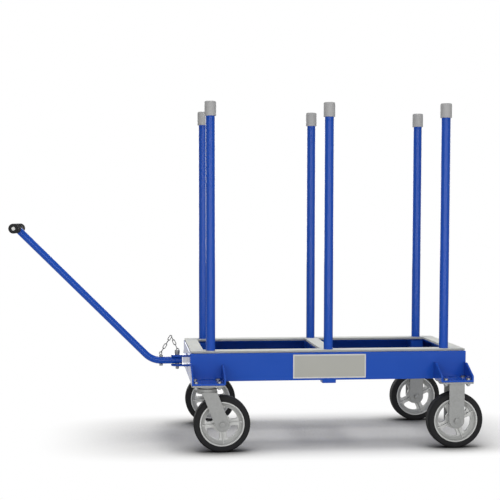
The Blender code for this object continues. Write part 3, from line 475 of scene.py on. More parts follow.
class GrowTree(NodeGroup):
    """A geometry node tree that works on a host's points or lines and ends in real, painted geometry."""

    def __init__(self, name, *sizes):
        inputs = [("Geometry", "Geometry"), *sizes, ("Material", "Material")]
        super().__init__(name, "GeometryNodeTree", inputs, [("Geometry", "Geometry")])
        self.host = self.given["Geometry"]

    def join(self, *parts):
        node = self.add("GeometryNodeJoinGeometry")
        for part in reversed(parts):
            self.tree.links.new(part, node.inputs[0])
        return node.outputs[0]

    def line(self):
        return self.add("GeometryNodeMeshToCurve", {"Mesh": self.host}).outputs[0]

    def ring(self, steps, radius):
        inputs = {"Resolution": steps, "Radius": radius}
        return self.add("GeometryNodeCurvePrimitiveCircle", inputs).outputs[0]

    def swept(self, curve, section, caps=False):
        inputs = {"Curve": curve, "Profile Curve": section, "Fill Caps": caps}
        return self.add("GeometryNodeCurveToMesh", inputs).outputs[0]

    def facing(self, vector, axis):
        return self.add("FunctionNodeAlignRotationToVector", {"Vector": vector}, axis=axis).outputs[0]

    def attribute(self, name, kind):
        return self.add("GeometryNodeInputNamedAttribute", {"Name": name}, data_type=kind).outputs[0]

    def copies(self, points, shape, rotation, scale=(1, 1, 1)):
        inputs = {"Points": points, "Instance": shape, "Rotation": rotation, "Scale": scale}
        return self.add("GeometryNodeInstanceOnPoints", inputs).outputs[0]

    def end(self, geometry):
        """Makes the copies real and gives them their material."""
        real = self.add("GeometryNodeRealizeInstances", {"Geometry": geometry}).outputs[0]
        paint = self.add("GeometryNodeSetMaterial", {"Geometry": real, "Material": self.given["Material"]})
        self.fill(self.sink, {"Geometry": paint.outputs[0]})


def grown(host_mesh, tree, finish, **sizes):
    """Runs a tree on a host mesh with the given inputs and finish and returns the plain mesh."""
    host = put("host", host_mesh)
    modifier = host.modifiers.new("grow", "NODES")
    modifier.node_group = bpy.data.node_groups[tree]
    items = modifier.node_group.interface.items_tree
    sockets = {item.name: item.identifier for item in items if item.in_out == "INPUT"}
    for label, value in {**sizes, "material": bpy.data.materials[finish]}.items():
        modifier[sockets[label.replace("_", " ").capitalize()]] = value
    return plain_mesh(host)


def hexagon_tree():
    """Hexagon heads or nuts on washers, one at each point, standing along an axis."""
    tree = GrowTree("Hexagons", ("Radius", "Float", 0.008), ("Height", "Float", 0.006),
                    ("Washer", "Float", 0.009), ("Washer height", "Float", 0.001),
                    ("Axis", "Vector", (0, 0, 1)))
    given = tree.given
    radius, height, washer, thick = given["Radius"], given["Height"], given["Washer"], given["Washer height"]
    crown_share, crown_taper = 0.16, 0.86
    crown = tree.maths("MULTIPLY", height, crown_share)
    body = tree.maths("SUBTRACT", height, crown)

    def half(value):
        return tree.maths("MULTIPLY", value, 0.5)

    def drum(sides, width, depth):
        inputs = {"Vertices": sides, "Radius": width, "Depth": depth}
        return tree.add("GeometryNodeMeshCylinder", inputs).outputs[0]

    def lifted(shape, lift):
        rise = tree.add("ShaderNodeCombineXYZ", {"Z": lift}).outputs[0]
        return tree.add("GeometryNodeTransform", {"Geometry": shape, "Translation": rise}).outputs[0]

    hexagon = lifted(drum(6, radius, body), tree.maths("ADD", thick, half(body)))
    cone = tree.add("GeometryNodeMeshCone", {
        "Vertices": 6, "Radius Bottom": radius, "Radius Top": tree.maths("MULTIPLY", radius, crown_taper),
        "Depth": crown,
    }).outputs[0]
    top = lifted(cone, tree.maths("ADD", thick, body))
    ring = lifted(drum(24, washer, thick), half(thick))
    tree.end(tree.copies(tree.host, tree.join(hexagon, top, ring), tree.facing(given["Axis"], "Z")))


def weld_tree():
    """A bead of overlapping ripples along each line of the host."""
    tree = GrowTree("Weld bead", ("Radius", "Float", 0.002), ("Pitch", "Float", 0.0024))
    inputs = {"Curve": tree.line(), "Length": tree.given["Pitch"]}
    spots = tree.add("GeometryNodeResampleCurve", inputs, mode="LENGTH").outputs[0]
    inputs = {"Segments": 8, "Rings": 5, "Radius": tree.given["Radius"]}
    drop = tree.add("GeometryNodeMeshUVSphere", inputs).outputs[0]
    lean = tree.facing(tree.add("GeometryNodeInputTangent").outputs[0], "X")
    tree.end(tree.copies(spots, drop, lean, (0.72, 1.0, 1.0)))


def chain_tree():
    """Oval wire links, one at each point, along its heading and rolled by its roll."""
    tree = GrowTree("Chain links", ("Wire", "Float", 0.0015), ("Half width", "Float", 0.0045),
                    ("Straight", "Float", 0.006))
    place = tree.add("GeometryNodeInputPosition").outputs[0]
    x = tree.add("ShaderNodeSeparateXYZ", {0: place}).outputs["X"]
    shift = tree.maths("MULTIPLY", tree.maths("SIGN", x), tree.given["Straight"])
    inputs = {"Geometry": tree.ring(28, tree.given["Half width"]),
              "Offset": tree.add("ShaderNodeCombineXYZ", {"X": shift}).outputs[0]}
    oval = tree.add("GeometryNodeSetPosition", inputs).outputs[0]
    link = tree.swept(oval, tree.ring(12, tree.given["Wire"]))
    inputs = {"Axis": (1, 0, 0), "Angle": tree.attribute("roll", "FLOAT")}
    twist = tree.add("FunctionNodeAxisAngleToRotation", inputs).outputs[0]
    inputs = {"Rotation": tree.facing(tree.attribute("heading", "FLOAT_VECTOR"), "X"), "Rotate By": twist}
    turn = tree.add("FunctionNodeRotateRotation", inputs, rotation_space="LOCAL").outputs[0]
    tree.end(tree.copies(tree.host, link, turn))


def ring_tree():
    """Evenly spaced moulded rings along Y from a starting point."""
    tree = GrowTree("Grip rings", ("Count", "Int", 20), ("Start", "Vector", (0, 0, 0)),
                    ("Step", "Vector", (0, 0.005, 0)), ("Radius", "Float", 0.017), ("Bead", "Float", 0.001))
    given = tree.given
    inputs = {"Count": given["Count"], "Start Location": given["Start"], "Offset": given["Step"]}
    spots = tree.add("GeometryNodeMeshLine", inputs).outputs[0]
    ring = tree.swept(tree.ring(48, given["Radius"]), tree.ring(8, given["Bead"]))
    tree.end(tree.copies(spots, ring, (QUARTER, 0, 0)))


def pipe_tree():
    """A round pipe along the host's line, with every corner bent to one radius."""
    tree = GrowTree("Bent pipe", ("Radius", "Float", 0.013), ("Bend", "Float", 0.08), ("Steps", "Int", 24),
                    ("Sides", "Int", 48))
    inputs = {"Curve": tree.line(), "Radius": tree.given["Bend"], "Count": tree.given["Steps"]}
    bent = tree.add("GeometryNodeFilletCurve", inputs, mode="POLY").outputs[0]
    section = tree.ring(tree.given["Sides"], tree.given["Radius"])
    tree.end(tree.swept(bent, section, caps=True))


def variation_group():
    """Shared surface effect: slow tone patches, fine grain and sparse marks."""
    group = NodeGroup("Surface variation", "ShaderNodeTree", (
        ("Colour", "Color", (0.5, 0.5, 0.5, 1)), ("Tone", "Float", 0.1), ("Patch scale", "Float", 6.0),
        ("Grain scale", "Float", 400.0), ("Mark amount", "Float", 0.1),
        ("Mark colour", "Color", (0.3, 0.3, 0.3, 1)), ("Roughness", "Float", 0.5),
        ("Stretch", "Vector", (1, 1, 1)),
    ), (("Colour", "Color"), ("Roughness", "Float"), ("Height", "Float")))
    maths, given = group.maths, group.given
    marks_per_patch, mark_start, mark_sharpness = 5.3, 0.6, 7.0
    grain_share, patch_roughness, mark_roughness, mark_depth = 0.5, 0.18, 0.2, -0.8

    def noise(vector, scale, detail):
        inputs = {"Vector": vector, "Scale": scale, "Detail": detail}
        return group.add("ShaderNodeTexNoise", inputs).outputs[0]

    place = group.add("ShaderNodeTexCoord").outputs["Object"]
    stretched = group.vector("MULTIPLY", place, given["Stretch"])
    patch = maths("SUBTRACT", noise(place, given["Patch scale"], 4), 0.5)
    grain = noise(stretched, given["Grain scale"], 2)
    mark = noise(stretched, maths("MULTIPLY", given["Patch scale"], marks_per_patch), 6)
    mark = maths("MULTIPLY", maths("SUBTRACT", mark, mark_start), mark_sharpness, clamp=True)
    marks = maths("MULTIPLY", mark, given["Mark amount"])
    spread = maths("ADD", patch, maths("MULTIPLY", maths("SUBTRACT", grain, 0.5), grain_share))
    factor = maths("ADD", maths("MULTIPLY", spread, given["Tone"]), 1.0)
    tone = group.vector("SCALE", given["Colour"], Scale=factor)
    inputs = {"Factor": marks, "A": tone, "B": given["Mark colour"]}
    mix = group.add("ShaderNodeMix", inputs, data_type="RGBA")
    rough = maths("ADD", given["Roughness"], maths("MULTIPLY", patch, patch_roughness))
    group.fill(group.sink, {
        "Colour": mix.outputs["Result"],
        "Roughness": maths("ADD", rough, maths("MULTIPLY", marks, mark_roughness), clamp=True),
        "Height": maths("ADD", grain, maths("MULTIPLY", marks, mark_depth)),
    })


def spangle_group():
    """Shared effect of plated and cast metal: crystal-like patches of slightly unlike brightness."""
    group = NodeGroup("Metal spangle", "ShaderNodeTree", (
        ("Colour", "Color", (0.5, 0.5, 0.5, 1)), ("Scale", "Float", 160), ("Amount", "Float", 0.1),
    ), (("Colour", "Color"),))
    darkest = 0.95
    place = group.add("ShaderNodeTexCoord").outputs["Object"]
    cells = group.add("ShaderNodeTexVoronoi", {"Vector": place, "Scale": group.given["Scale"]})
    value = group.add("ShaderNodeSeparateColor", {0: cells.outputs["Color"]}).outputs[0]
    factor = group.maths("MULTIPLY_ADD", value, group.given["Amount"], darkest)
    group.fill(group.sink, {"Colour": group.vector("SCALE", group.given["Colour"], Scale=factor)})


def finish_material(name, base, roughness, metallic=0.0, tone=0.1, patch=6, grain=500, bump=0.1, marks=0.1,
                    mark_colour=(0.3, 0.3, 0.3), stretch=(1, 1, 1), spangle=0, specular=0.5):
    material = bpy.data.materials.new(name)
    material.use_nodes = True
    nodes = Nodes(material.node_tree)
    effect = nodes.shared("Surface variation", {
        "Colour": (*base, 1), "Tone": tone, "Patch scale": patch, "Grain scale": grain, "Mark amount": marks,
        "Mark colour": (*mark_colour, 1), "Roughness": roughness, "Stretch": stretch,
    })
    surface = effect["Colour"]
    if spangle:
        surface = nodes.shared("Metal spangle", {"Colour": surface, "Amount": spangle})["Colour"]
    relief = nodes.add("ShaderNodeBump", {"Strength": bump, "Distance": 0.0006, "Height": effect["Height"]})
    nodes.fill(material.node_tree.nodes["Principled BSDF"], {
        "Base Color": surface, "Roughness": effect["Roughness"], "Normal": relief.outputs[0],
        "Metallic": metallic, "Specular IOR Level": specular,
    })


class DOLLY_OT_finishes(Operator):
    """Make the finishes: paint, boards, zinc, cast iron, rubber and plastic"""
    bl_idname = "dolly.finishes"
    bl_label = "Finishes"

    def execute(self, context):
        variation_group()
        spangle_group()
        for name, (_, tint, values) in FINISHES.items():
            finish_material(name, getattr(context.scene.dolly_colours, tint), **values)
        for build in (hexagon_tree, weld_tree, chain_tree, ring_tree, pipe_tree):
            build()
        return {"FINISHED"}


class DOLLY_OT_rails(Operator):
    """Roll the channel rails and the cross rail, and weld in the post sockets"""
    bl_idname = "dolly.rails"
    bl_label = "Rails and sockets"

    def execute(self, context):
        sizes = context.scene.dolly_frame
        wall, fillet, edge = sizes.wall, sizes.fillet, sizes.edge
        tighter = 0.0003

        def channel(depth, height, outward):
            """A channel's section, with the outer face of its web at 0 and its middle height at 0."""
            half, tip, corner = height / 2, -depth * outward, fillet - tighter
            return rounded(mirrored([
                (0, half, fillet), (tip, half, corner / 2), (tip, half - wall, corner / 2),
                (-wall * outward, half - wall, corner),
            ]), 4)

        for side, sign in SIDES:
            box = Box("side_rail_" + side)
            place = at(box.middle.x, box.face("y", sign), box.middle.z) @ ACROSS_X
            mesh = flat([channel(box.size.y, box.size.z, sign)], box.size.x, edge, place)
            dress("rolled_side_rail_" + side, mesh, "Blue paint", "side_rail_" + side)
        inner = -Box("side_rail_near").high.y
        for end, sign in ENDS:
            box = Box("end_rail_" + end)
            web = box.face("x", sign)
            place = at(web, 0, box.middle.z) @ ACROSS_Y
            parts = [flat([channel(box.size.x, box.size.z, sign)], 2 * inner, edge, place)]
            for hand in (-1, 1):
                start, stop = sorted((hand * inner, hand * box.high.y))
                tab = rectangle((start - edge, box.low.z + wall), (stop + edge, box.high.z - wall), edge)
                parts.append(flat([tab], wall, edge, at(web - sign * wall / 2) @ ACROSS_X))
            dress("rolled_end_rail_" + end, joined(parts), "Blue paint", "end_rail_" + end)
        self.cross_rail(wall / 1.5, fillet, edge)
        for tag in POSTS:
            self.socket(sizes, tag)
        return {"FINISHED"}

    @staticmethod
    def cross_rail(wall, fillet, edge):
        box = Box("cross_rail")
        outer = rectangle(box.low.xz, box.high.xz, fillet * 1.6)
        inner = rectangle(box.low.xz, box.high.xz, fillet, wall)
        mesh = flat([outer, inner], box.size.y, edge, at(y=box.middle.y) @ ACROSS_Y)
        dress("square_cross_rail", mesh, "Blue paint", "cross_rail")

    @staticmethod
    def socket(sizes, tag):
        outer_corner, inner_corner, floor_edge, floor_lift = 0.005, 0.003, 0.0002, 0.0004
        box = Box("post_socket_" + tag)
        low, high = box.size.xy / -2, box.size.xy / 2
        outer = rectangle(low, high, outer_corner)
        inner = rectangle(low, high, inner_corner, sizes.socket_wall)
        walls = slab([outer, inner], box.low.z, box.high.z, sizes.edge, box.middle)
        floor = box.low.z + floor_lift
        base = slab([inner, circle((0, 0), sizes.drain)], floor, floor + sizes.wall, floor_edge, box.middle)
        dress("square_socket_" + tag, joined([walls, base]), "Blue paint", "post_socket_" + tag)


class DOLLY_OT_boards(Operator):
    """Lay the pale lining boards on the frame"""
    bl_idname = "dolly.boards"
    bl_label = "Lining boards"

    def execute(self, context):
        sizes = context.scene.dolly_frame
        hole = context.scene.dolly_handle.pipe + 0.0004
        for node in ("side_lining_near", "side_lining_far", "end_lining_hitch", "cross_lining",
                     "end_lining_rear"):
            box = Box(node)
            side = node.rsplit("_", 1)[-1]
            loops = [rectangle(box.low.xy, box.high.xy, sizes.corner)]
            loops += [circle(Box("post_" + tag).middle.xy, hole) for tag in POSTS if tag.startswith(side)]
            mesh = slab(loops, box.low.z, box.high.z, sizes.board_edge)
            dress(node.replace("lining", "board"), mesh, "Lining", node)
        return {"FINISHED"}


class DOLLY_OT_brackets(Operator):
    """Cut the outrigger brackets with their gussets, and the hitch plates"""
    bl_idname = "dolly.brackets"
    bl_label = "Brackets and hitch plates"

    def execute(self, context):
        sizes = context.scene.dolly_frame
        plate, edge = sizes.bracket, sizes.edge
        tip_ease, tip_round, knee_round, gusset_inset = 0.0005, 0.004, 0.006, 0.0002
        for end, side, sign in CORNERS:
            node = "bracket_%s_%s" % (end, side)
            box = Box(node)
            low_x = box.low.x + (plate / 2 if end == "rear" else 0)
            high_x = box.high.x - (plate / 2 if end == "hitch" else 0)
            top = box.low.z + plate
            outline = rectangle((low_x, box.low.y), (high_x, box.high.y), sizes.corner)
            parts = [slab([outline], box.low.z, top, edge)]
            rail_y, tip_y = box.face("y", -sign), box.face("y", sign) - sign * tip_ease
            section = rounded([
                (rail_y, top - plate / 2), (tip_y, top - plate / 2), (tip_y, top + sizes.toe, tip_round),
                (rail_y + sign * sizes.land, top + sizes.rise, knee_round),
                (rail_y, top + sizes.rise, sizes.corner),
            ])
            inset = plate / 2 + gusset_inset
            for x in (box.low.x + inset, box.high.x - inset):
                parts.append(flat([section], plate, edge, at(x) @ ACROSS_X))
            dress("plate_" + node, joined(parts), "Blue paint", node)
        pin_hole, plate_ease = 0.0068, 0.001
        for node in ("hitch_plate_lower", "hitch_plate_upper"):
            box = Box(node)
            half = box.size.y / 2
            pin = (box.low.x + half, 0)
            outline = [(box.high.x, half)] + arc(pin, half, QUARTER, 3 * QUARTER, 40) + [(box.high.x, -half)]
            mesh = slab([outline, circle(pin, pin_hole)], box.low.z, box.high.z, plate_ease)
            dress("rounded_" + node, mesh, "Blue paint", node)
        return {"FINISHED"}


def weld_bead(points, edges, sizes, share=1):
    """A bead along a mesh's lines, at a share of the usual radius."""
    return grown(points_mesh(points, edges), "Weld bead", "Blue paint", radius=sizes.weld * share,
                 pitch=sizes.weld_pitch)


class DOLLY_OT_welds(Operator):
    """Run the weld beads of the brackets, rails, sockets and hitch"""
    bl_idname = "dolly.welds"
    bl_label = "Weld beads"

    def execute(self, context):
        sizes = context.scene.dolly_frame
        gusset_gap, upright, outward = 0.0002, 0.050, 0.094
        hitch_inset, plate_inset, web_inset = 0.0004, 0.001, 0.008
        foot_inset, head_inset, end_inset = 0.003, 0.004, 0.002
        lines = []
        for end, side, sign in CORNERS:
            box = Box("bracket_%s_%s" % (end, side))
            rail_y = box.face("y", -sign) - sign * GAP
            top = box.low.z + sizes.bracket
            inset = sizes.bracket + sizes.weld
            lines.append([(box.low.x + inset, rail_y, top), (box.high.x - inset, rail_y, top)])
            inset = sizes.bracket + gusset_gap
            for x in (box.low.x + inset, box.high.x - inset):
                lines.append([(x, rail_y, top + sizes.weld), (x, rail_y, top + upright)])
                lines.append([(x, rail_y + sign * sizes.weld, top), (x, rail_y + sign * outward, top)])
        for node, level in (("hitch_plate_upper", 1), ("hitch_plate_lower", -1)):
            box = Box(node)
            x, z = box.high.x - hitch_inset, box.face("z", level)
            lines.append([(x, box.low.y + plate_inset, z), (x, box.high.y - plate_inset, z)])
        for end, sign in ENDS:
            box = Box("end_rail_" + end)
            web_x = box.face("x", sign) - sign * sizes.wall
            for side, hand in SIDES:
                flange = Box("side_rail_" + side).face("y", -hand)
                foot, head = box.low.z + web_inset, box.high.z - web_inset
                lines.append([(web_x, flange, foot), (web_x, flange, head)])
                lines.append([(x, flange, box.low.z) for x in sorted((web_x, box.face("x", -sign)))])
        box = Box("cross_rail")
        for y in (box.low.y, box.high.y):
            for x in (box.low.x, box.high.x):
                lines.append([(x, y, box.low.z + foot_inset), (x, y, box.high.z - head_inset)])
            lines.append([(box.low.x + end_inset, y, box.low.z), (box.high.x - end_inset, y, box.low.z)])
        points = [point for line in lines for point in line]
        edges = [(number, number + 1) for number in range(0, len(points), 2)]
        dress("frame_weld_beads", weld_bead(points, edges, sizes), "Blue paint", body="frame", angle=80)
        return {"FINISHED"}


class DOLLY_OT_posts(Operator):
    """Draw the six posts and push on their caps"""
    bl_idname = "dolly.posts"
    bl_label = "Posts and caps"

    def execute(self, context):
        sizes = context.scene.dolly_handle
        bore = sizes.pipe - sizes.pipe_wall
        draft, draft_height, draft_round, roof = 0.0003, 0.012, 0.02, 0.005
        for tag in POSTS:
            box = Box("post_" + tag)
            place = at(box.middle.x, box.middle.y)
            profile = sleeve(bore, sizes.pipe, box.low.z, box.high.z, 0.0004, 0.0006)
            dress("pipe_post_" + tag, turned(profile, place, steps=2), "Blue paint", "post_" + tag)
            box = Box("post_cap_" + tag)
            radius, top, foot = box.size.x / 2, box.high.z, box.low.z
            inner = sizes.pipe + GAP
            profile = [
                (0, top), (radius - draft, top, sizes.cap_edge), (radius, top - draft_height, draft_round),
                (radius, foot, 0.0012), (inner, foot, 0.0006), (inner, top - roof), (0, top - roof),
            ]
            dress("moulded_cap_" + tag, turned(profile, place, steps=6), "Post cap", "post_cap_" + tag)
        return {"FINISHED"}


def window_loop(sizes, rim_radius, spoke_angle):
    """A bean-shaped window between a spoke and the next one, with round corners."""
    rim_land, hub_land, big, small = 0.0058, 0.0110, 0.0075, 0.003
    outer = rim_radius - sizes.rim - rim_land
    inner = sizes.hub + hub_land
    side = sizes.spoke / 2
    out_lean = math.asin((side + big) / (outer - big))
    in_lean = math.asin((side + small) / (inner + small))
    start, after = spoke_angle, spoke_angle + QUARTER

    def corner(angle, distance, radius, first, last, steps):
        return arc((distance * math.cos(angle), distance * math.sin(angle)), radius, first, last, steps)

    return (
        corner(start + out_lean, outer - big, big, start - QUARTER, start + out_lean, 8)
        + arc((0, 0), outer, start + out_lean, after - out_lean, 16)[1:-1]
        + corner(after - out_lean, outer - big, big, after - out_lean, after + QUARTER, 8)
        + corner(after - in_lean, inner + small, small, after + QUARTER, after - in_lean + 2 * QUARTER, 5)
        + arc((0, 0), inner, after - in_lean, start + in_lean, 6)[1:-1]
        + corner(start + in_lean, inner + small, small, start + in_lean + 2 * QUARTER, start + 3 * QUARTER, 5)
    )


def cast_core(sizes, rim, half, hub_half, first_spoke, stand):
    """A wheel core: rim ring, hub, web with four windows, and a rib along each spoke."""
    web, rim_half, well = sizes.web / 2, half - 0.0014, rim - sizes.rim
    lip, heel, flank, flank_round, step = 0.0045, 0.0050, 0.0080, 0.008, 0.0008
    ring = mirrored([
        (rim, rim_half, 0.0012), (rim - lip, rim_half, 0.0015), (well + lip, web + flank, flank_round),
        (well - heel, web - step, 0.003),
    ])
    nose, foot, foot_round = 0.003, 0.004, 0.004
    boss = mirrored([
        (sizes.bore, hub_half, 0.0006), (sizes.hub - nose, hub_half, 0.002),
        (sizes.hub, web + 0.002, foot_round), (sizes.hub + foot, web - 0.001, 0.001),
    ])
    spokes = [first_spoke + TURN / 4 * number for number in range(4)]
    loops = [circle((0, 0), well + 0.002, 96), circle((0, 0), sizes.hub - foot)]
    loops += [window_loop(sizes, rim, angle) for angle in spokes]
    parts = [turned(ring, stand, sizes.segments), turned(boss, stand), flat(loops, sizes.web, 0.0018, stand)]
    rib_start, rib_end, rib_half, taper, rib_edge = sizes.hub * 0.7, well + 0.0055, 0.0158, 0.0008, 0.0009
    blade = mirrored([(rib_start, rib_half), (rib_end, rib_half - taper)])
    for angle in spokes:
        turn = Matrix.Rotation(angle, 4, "Z")
        parts.append(flat([blade], sizes.rib, rib_edge, stand @ turn @ ACROSS_Y))
    return joined(parts)


def tyre(sizes, rim, radius, half, stand):
    """A tyre with a flat crown, round shoulders and a bead on the rim."""
    inner, bead, bead_depth, wall, crown, crown_inset = rim + GAP, 0.0012, 0.005, 0.004, 0.0002, 0.0085
    section = mirrored([
        (inner, half - bead, 0.0008), (inner + bead_depth, half, 0.002),
        (radius - wall, half - 0.0006, sizes.shoulder),
        (radius - crown, half - crown_inset, 0.006), (radius, 0),
    ])
    return turned(section, stand, 128, 6)


class DOLLY_OT_wheels(Operator):
    """Cast the spoked wheel cores and mould the tyres on them"""
    bl_idname = "dolly.wheels"
    bl_label = "Wheels"

    def execute(self, context):
        sizes = context.scene.dolly_wheels
        first_spoke = {"swivel": math.radians(5), "rigid": math.radians(25)}
        for kind, side in CASTERS:
            tag = "%s_%s" % (kind, side)
            box = Box("tyre_" + tag)
            stand = Matrix.Translation(box.middle) @ ACROSS_Y
            radius, half = box.size.x / 2, box.size.y / 2
            rim = radius - sizes.tyre
            hub_half = Box("wheel_core_" + tag).size.y / 2
            core = cast_core(sizes, rim, half, hub_half, first_spoke[kind], stand)
            dress("cast_core_" + tag, core, "Cast core", "wheel_core_" + tag)
            rubber = tyre(sizes, rim, radius, half, stand)
            dress("moulded_tyre_" + tag, rubber, "Tyre rubber", "tyre_" + tag, angle=50)
        return {"FINISHED"}


def hexagons(spots, axis, radius, height, washer, washer_height):
    """Hexagon heads or nuts with their washers, one at each spot, standing along an axis."""
    return grown(points_mesh(spots), "Hexagons", "Zinc", radius=radius, height=height, washer=washer,
                 washer_height=washer_height, axis=axis)


def leg_loops(top_x, top_z, axle, half, bore):
    """The outline of a fork leg down to its round end, and the axle's hole."""
    run = Vector((axle[0] - top_x, axle[1] - top_z)).normalized()
    slant = half / abs(run.y)
    heading = math.atan2(run.y, run.x)
    end = arc(axle, half, heading - QUARTER, heading + QUARTER, 32)
    return [[(top_x - slant, top_z)] + end + [(top_x + slant, top_z)], circle(axle, bore)]


def caster_bolts(sizes, box, plate_bottom, head_foot):
    """Four bolts with their nuts, set in from the corners of a top plate."""
    inset_x, inset_y, washer = 0.01585, 0.0175, sizes.hexagon + 0.0009
    stem, stem_length, stem_ease = 0.00475, 0.0104, 0.0008
    spots = [(x, y) for y in (box.low.y + inset_y, box.high.y - inset_y)
             for x in (box.low.x + inset_x, box.high.x - inset_x)]
    heads = hexagons([(*spot, head_foot) for spot in spots], (0, 0, 1), sizes.hexagon, 0.0046, washer, 0.0012)
    feet = [(*spot, plate_bottom) for spot in spots]
    nuts = hexagons(feet, (0, 0, -1), sizes.hexagon, 0.0062, washer, 0.0013)
    stems = [disc(stem, plate_bottom - stem_length, plate_bottom, stem_ease, at(*spot), 24) for spot in spots]
    return joined([heads, nuts, *stems])


def axle_bolt(sizes, axle, reach):
    """An axle with a hexagon against each leg."""
    short, long, ease = 0.0070, 0.0079, 0.001
    bars = [disc(sizes.axle, -reach - short, reach + long, ease, Matrix.Translation(axle) @ ACROSS_Y, 40)]
    for hand in (-1, 1):
        spot = (axle.x, axle.y + hand * reach, axle.z)
        bars.append(hexagons([spot], (0, hand, 0), 0.0108, 0.0062, 0.0109, 0.0014))
    return joined(bars)


def upper_race(race_top, plate_bottom, hole, stand):
    """The race under a swivel caster's top plate."""
    land, rim, clearance, sink = 0.0300, 0.0325, 0.0006, 0.001
    return turned([
        (hole, race_top + clearance), (land, race_top + clearance, 0.001), (rim, race_top + 0.0035, 0.002),
        (rim, plate_bottom + sink), (hole, plate_bottom + sink),
    ], stand, 72)


def lower_race(bottom, top, race_top, hole, stand):
    """The crown of a swivel fork with the race on it."""
    rim, cup, land = 0.037, 0.0355, 0.0310
    return turned([
        (hole, bottom), (rim, bottom, 0.001), (rim, top, 0.0016), (cup, top + 0.0006, 0.0004),
        (cup, race_top - 0.001, 0.001), (land, race_top, 0.001), (hole, race_top),
    ], stand, 72)


def kingpin(sizes, side, middle, stand):
    """A kingpin with its nut below the crown."""
    box = Box("kingpin_" + side)
    pin_lift, nut_lift, nut = 0.0045, 0.009, 0.0155
    pin = disc(sizes.kingpin, box.low.z + pin_lift, box.high.z, 0.001, stand, 48)
    spot = (middle.x, middle.y, box.low.z + nut_lift)
    return joined([pin, hexagons([spot], (0, 0, -1), nut, 0.0078, nut, 0.0012)])


class DOLLY_OT_forks(Operator):
    """Press the caster forks and top plates, with races, kingpins, axles and bolts"""
    bl_idname = "dolly.forks"
    bl_label = "Forks and bolts"

    def execute(self, context):
        sizes, edge = context.scene.dolly_wheels, context.scene.dolly_frame.edge
        bracket = context.scene.dolly_frame.bracket
        wall, plate_corner, bridge_corner, bridge_ease = sizes.fork_wall, 0.005, 0.002, 0.0002
        crown_clearance, crown_shift, leg_sink = 0.00795, 0.007, 0.0008
        swivel_half, rigid_half = 0.0254, 0.028
        hole = sizes.kingpin + 0.0004
        for kind, side in CASTERS:
            tag = "%s_%s" % (kind, side)
            swivels = kind == "swivel"
            axle = Box("tyre_" + tag).middle
            leg_y = Box("wheel_core_" + tag).size.y / 2 + GAP
            foot = Box(("bracket_hitch_" if swivels else "bracket_rear_") + side).low.z
            box = Box(("swivel_plate_" if swivels else "rigid_fork_") + side)
            middle = box.middle
            plate_bottom = foot - GAP - sizes.top_plate
            plate = slab([rectangle(box.low.xy, box.high.xy, plate_corner)], plate_bottom, foot - GAP, edge)
            if swivels:
                crown_bottom = 2 * axle.z + crown_clearance
                crown_top = crown_bottom + sizes.top_plate
                top_x, top_z, half = middle.x + crown_shift, crown_top - leg_sink, swivel_half
            else:
                top_x, top_z, half = middle.x, plate_bottom + 0.001, rigid_half
            loops = leg_loops(top_x, top_z, (axle.x, axle.z), half, sizes.bore)
            leg_middle = leg_y + wall / 2
            places = [at(y=middle.y + hand * leg_middle) @ ACROSS_Y for hand in (-1, 1)]
            legs = [flat(loops, wall, edge, place) for place in places]
            bolts = caster_bolts(sizes, box, plate_bottom, foot + bracket + GAP)
            dress("caster_bolts_" + tag, bolts, "Bolt zinc", body="frame")
            if swivels:
                stand = at(middle.x, middle.y)
                race_top = crown_top + sizes.race
                upper = upper_race(race_top, plate_bottom, hole, stand)
                dress("swivel_top_" + side, joined([plate, upper]), "Zinc", "swivel_plate_" + side)
                crown = lower_race(crown_bottom, crown_top, race_top, hole, stand)
                low, high = (top_x - half, middle.y - leg_middle), (top_x + half, middle.y + leg_middle)
                outline = rectangle(low, high, bridge_corner)
                bridge = slab([outline, circle(middle.xy, hole)], crown_bottom + bridge_ease,
                              crown_top - bridge_ease, edge)
                dress("pressed_fork_" + tag, joined([crown, bridge, *legs]), "Zinc", "swivel_fork_" + side)
                pin = kingpin(sizes, side, middle, stand)
                dress("turned_kingpin_" + side, pin, "Zinc", "kingpin_" + side)
            else:
                dress("pressed_fork_" + tag, joined([plate, *legs]), "Zinc", "rigid_fork_" + side)
            dress("axle_bolt_" + tag, axle_bolt(sizes, axle, leg_y + wall + GAP), "Zinc", "axle_" + tag)
        return {"FINISHED"}


def grip(sizes, side, sign, bar):
    """A grip: a sleeve with a collar at each end, closed outside, and moulded rings between the collars."""
    box = Box("grip_" + side)
    start, reach = sorted((abs(box.low.y), abs(box.high.y)))
    radius, collar, groove, ring_inset = box.size.x / 2, 0.006, 0.0007, 0.010
    body, inner, mouth, roof = radius - groove, sizes.tube + GAP, 0.0068, 0.004
    sleeve_mesh = turned([
        (mouth, reach, 0.0008), (radius, reach, 0.0042), (radius, reach - collar, 0.001),
        (body, reach - collar - 0.001, 0.001), (body, start + collar + 0.001, 0.001),
        (radius, start + collar, 0.001), (radius, start, 0.0015), (inner, start, 0.0004),
        (inner, reach - roof), (mouth, reach - roof),
    ], Matrix.Translation(bar) @ Matrix.Rotation(-QUARTER * sign, 4, "X"), steps=5)
    span = (reach - start - 2 * ring_inset) / (sizes.ribs - 1)
    rings = grown(points_mesh([(0, 0, 0)]), "Grip rings", "Grip rubber", count=sizes.ribs,
                  start=(bar.x, sign * (start + ring_inset), bar.z), step=(0, sign * span, 0),
                  radius=body - 0.0004, bead=0.0010)
    return joined([sleeve_mesh, rings])


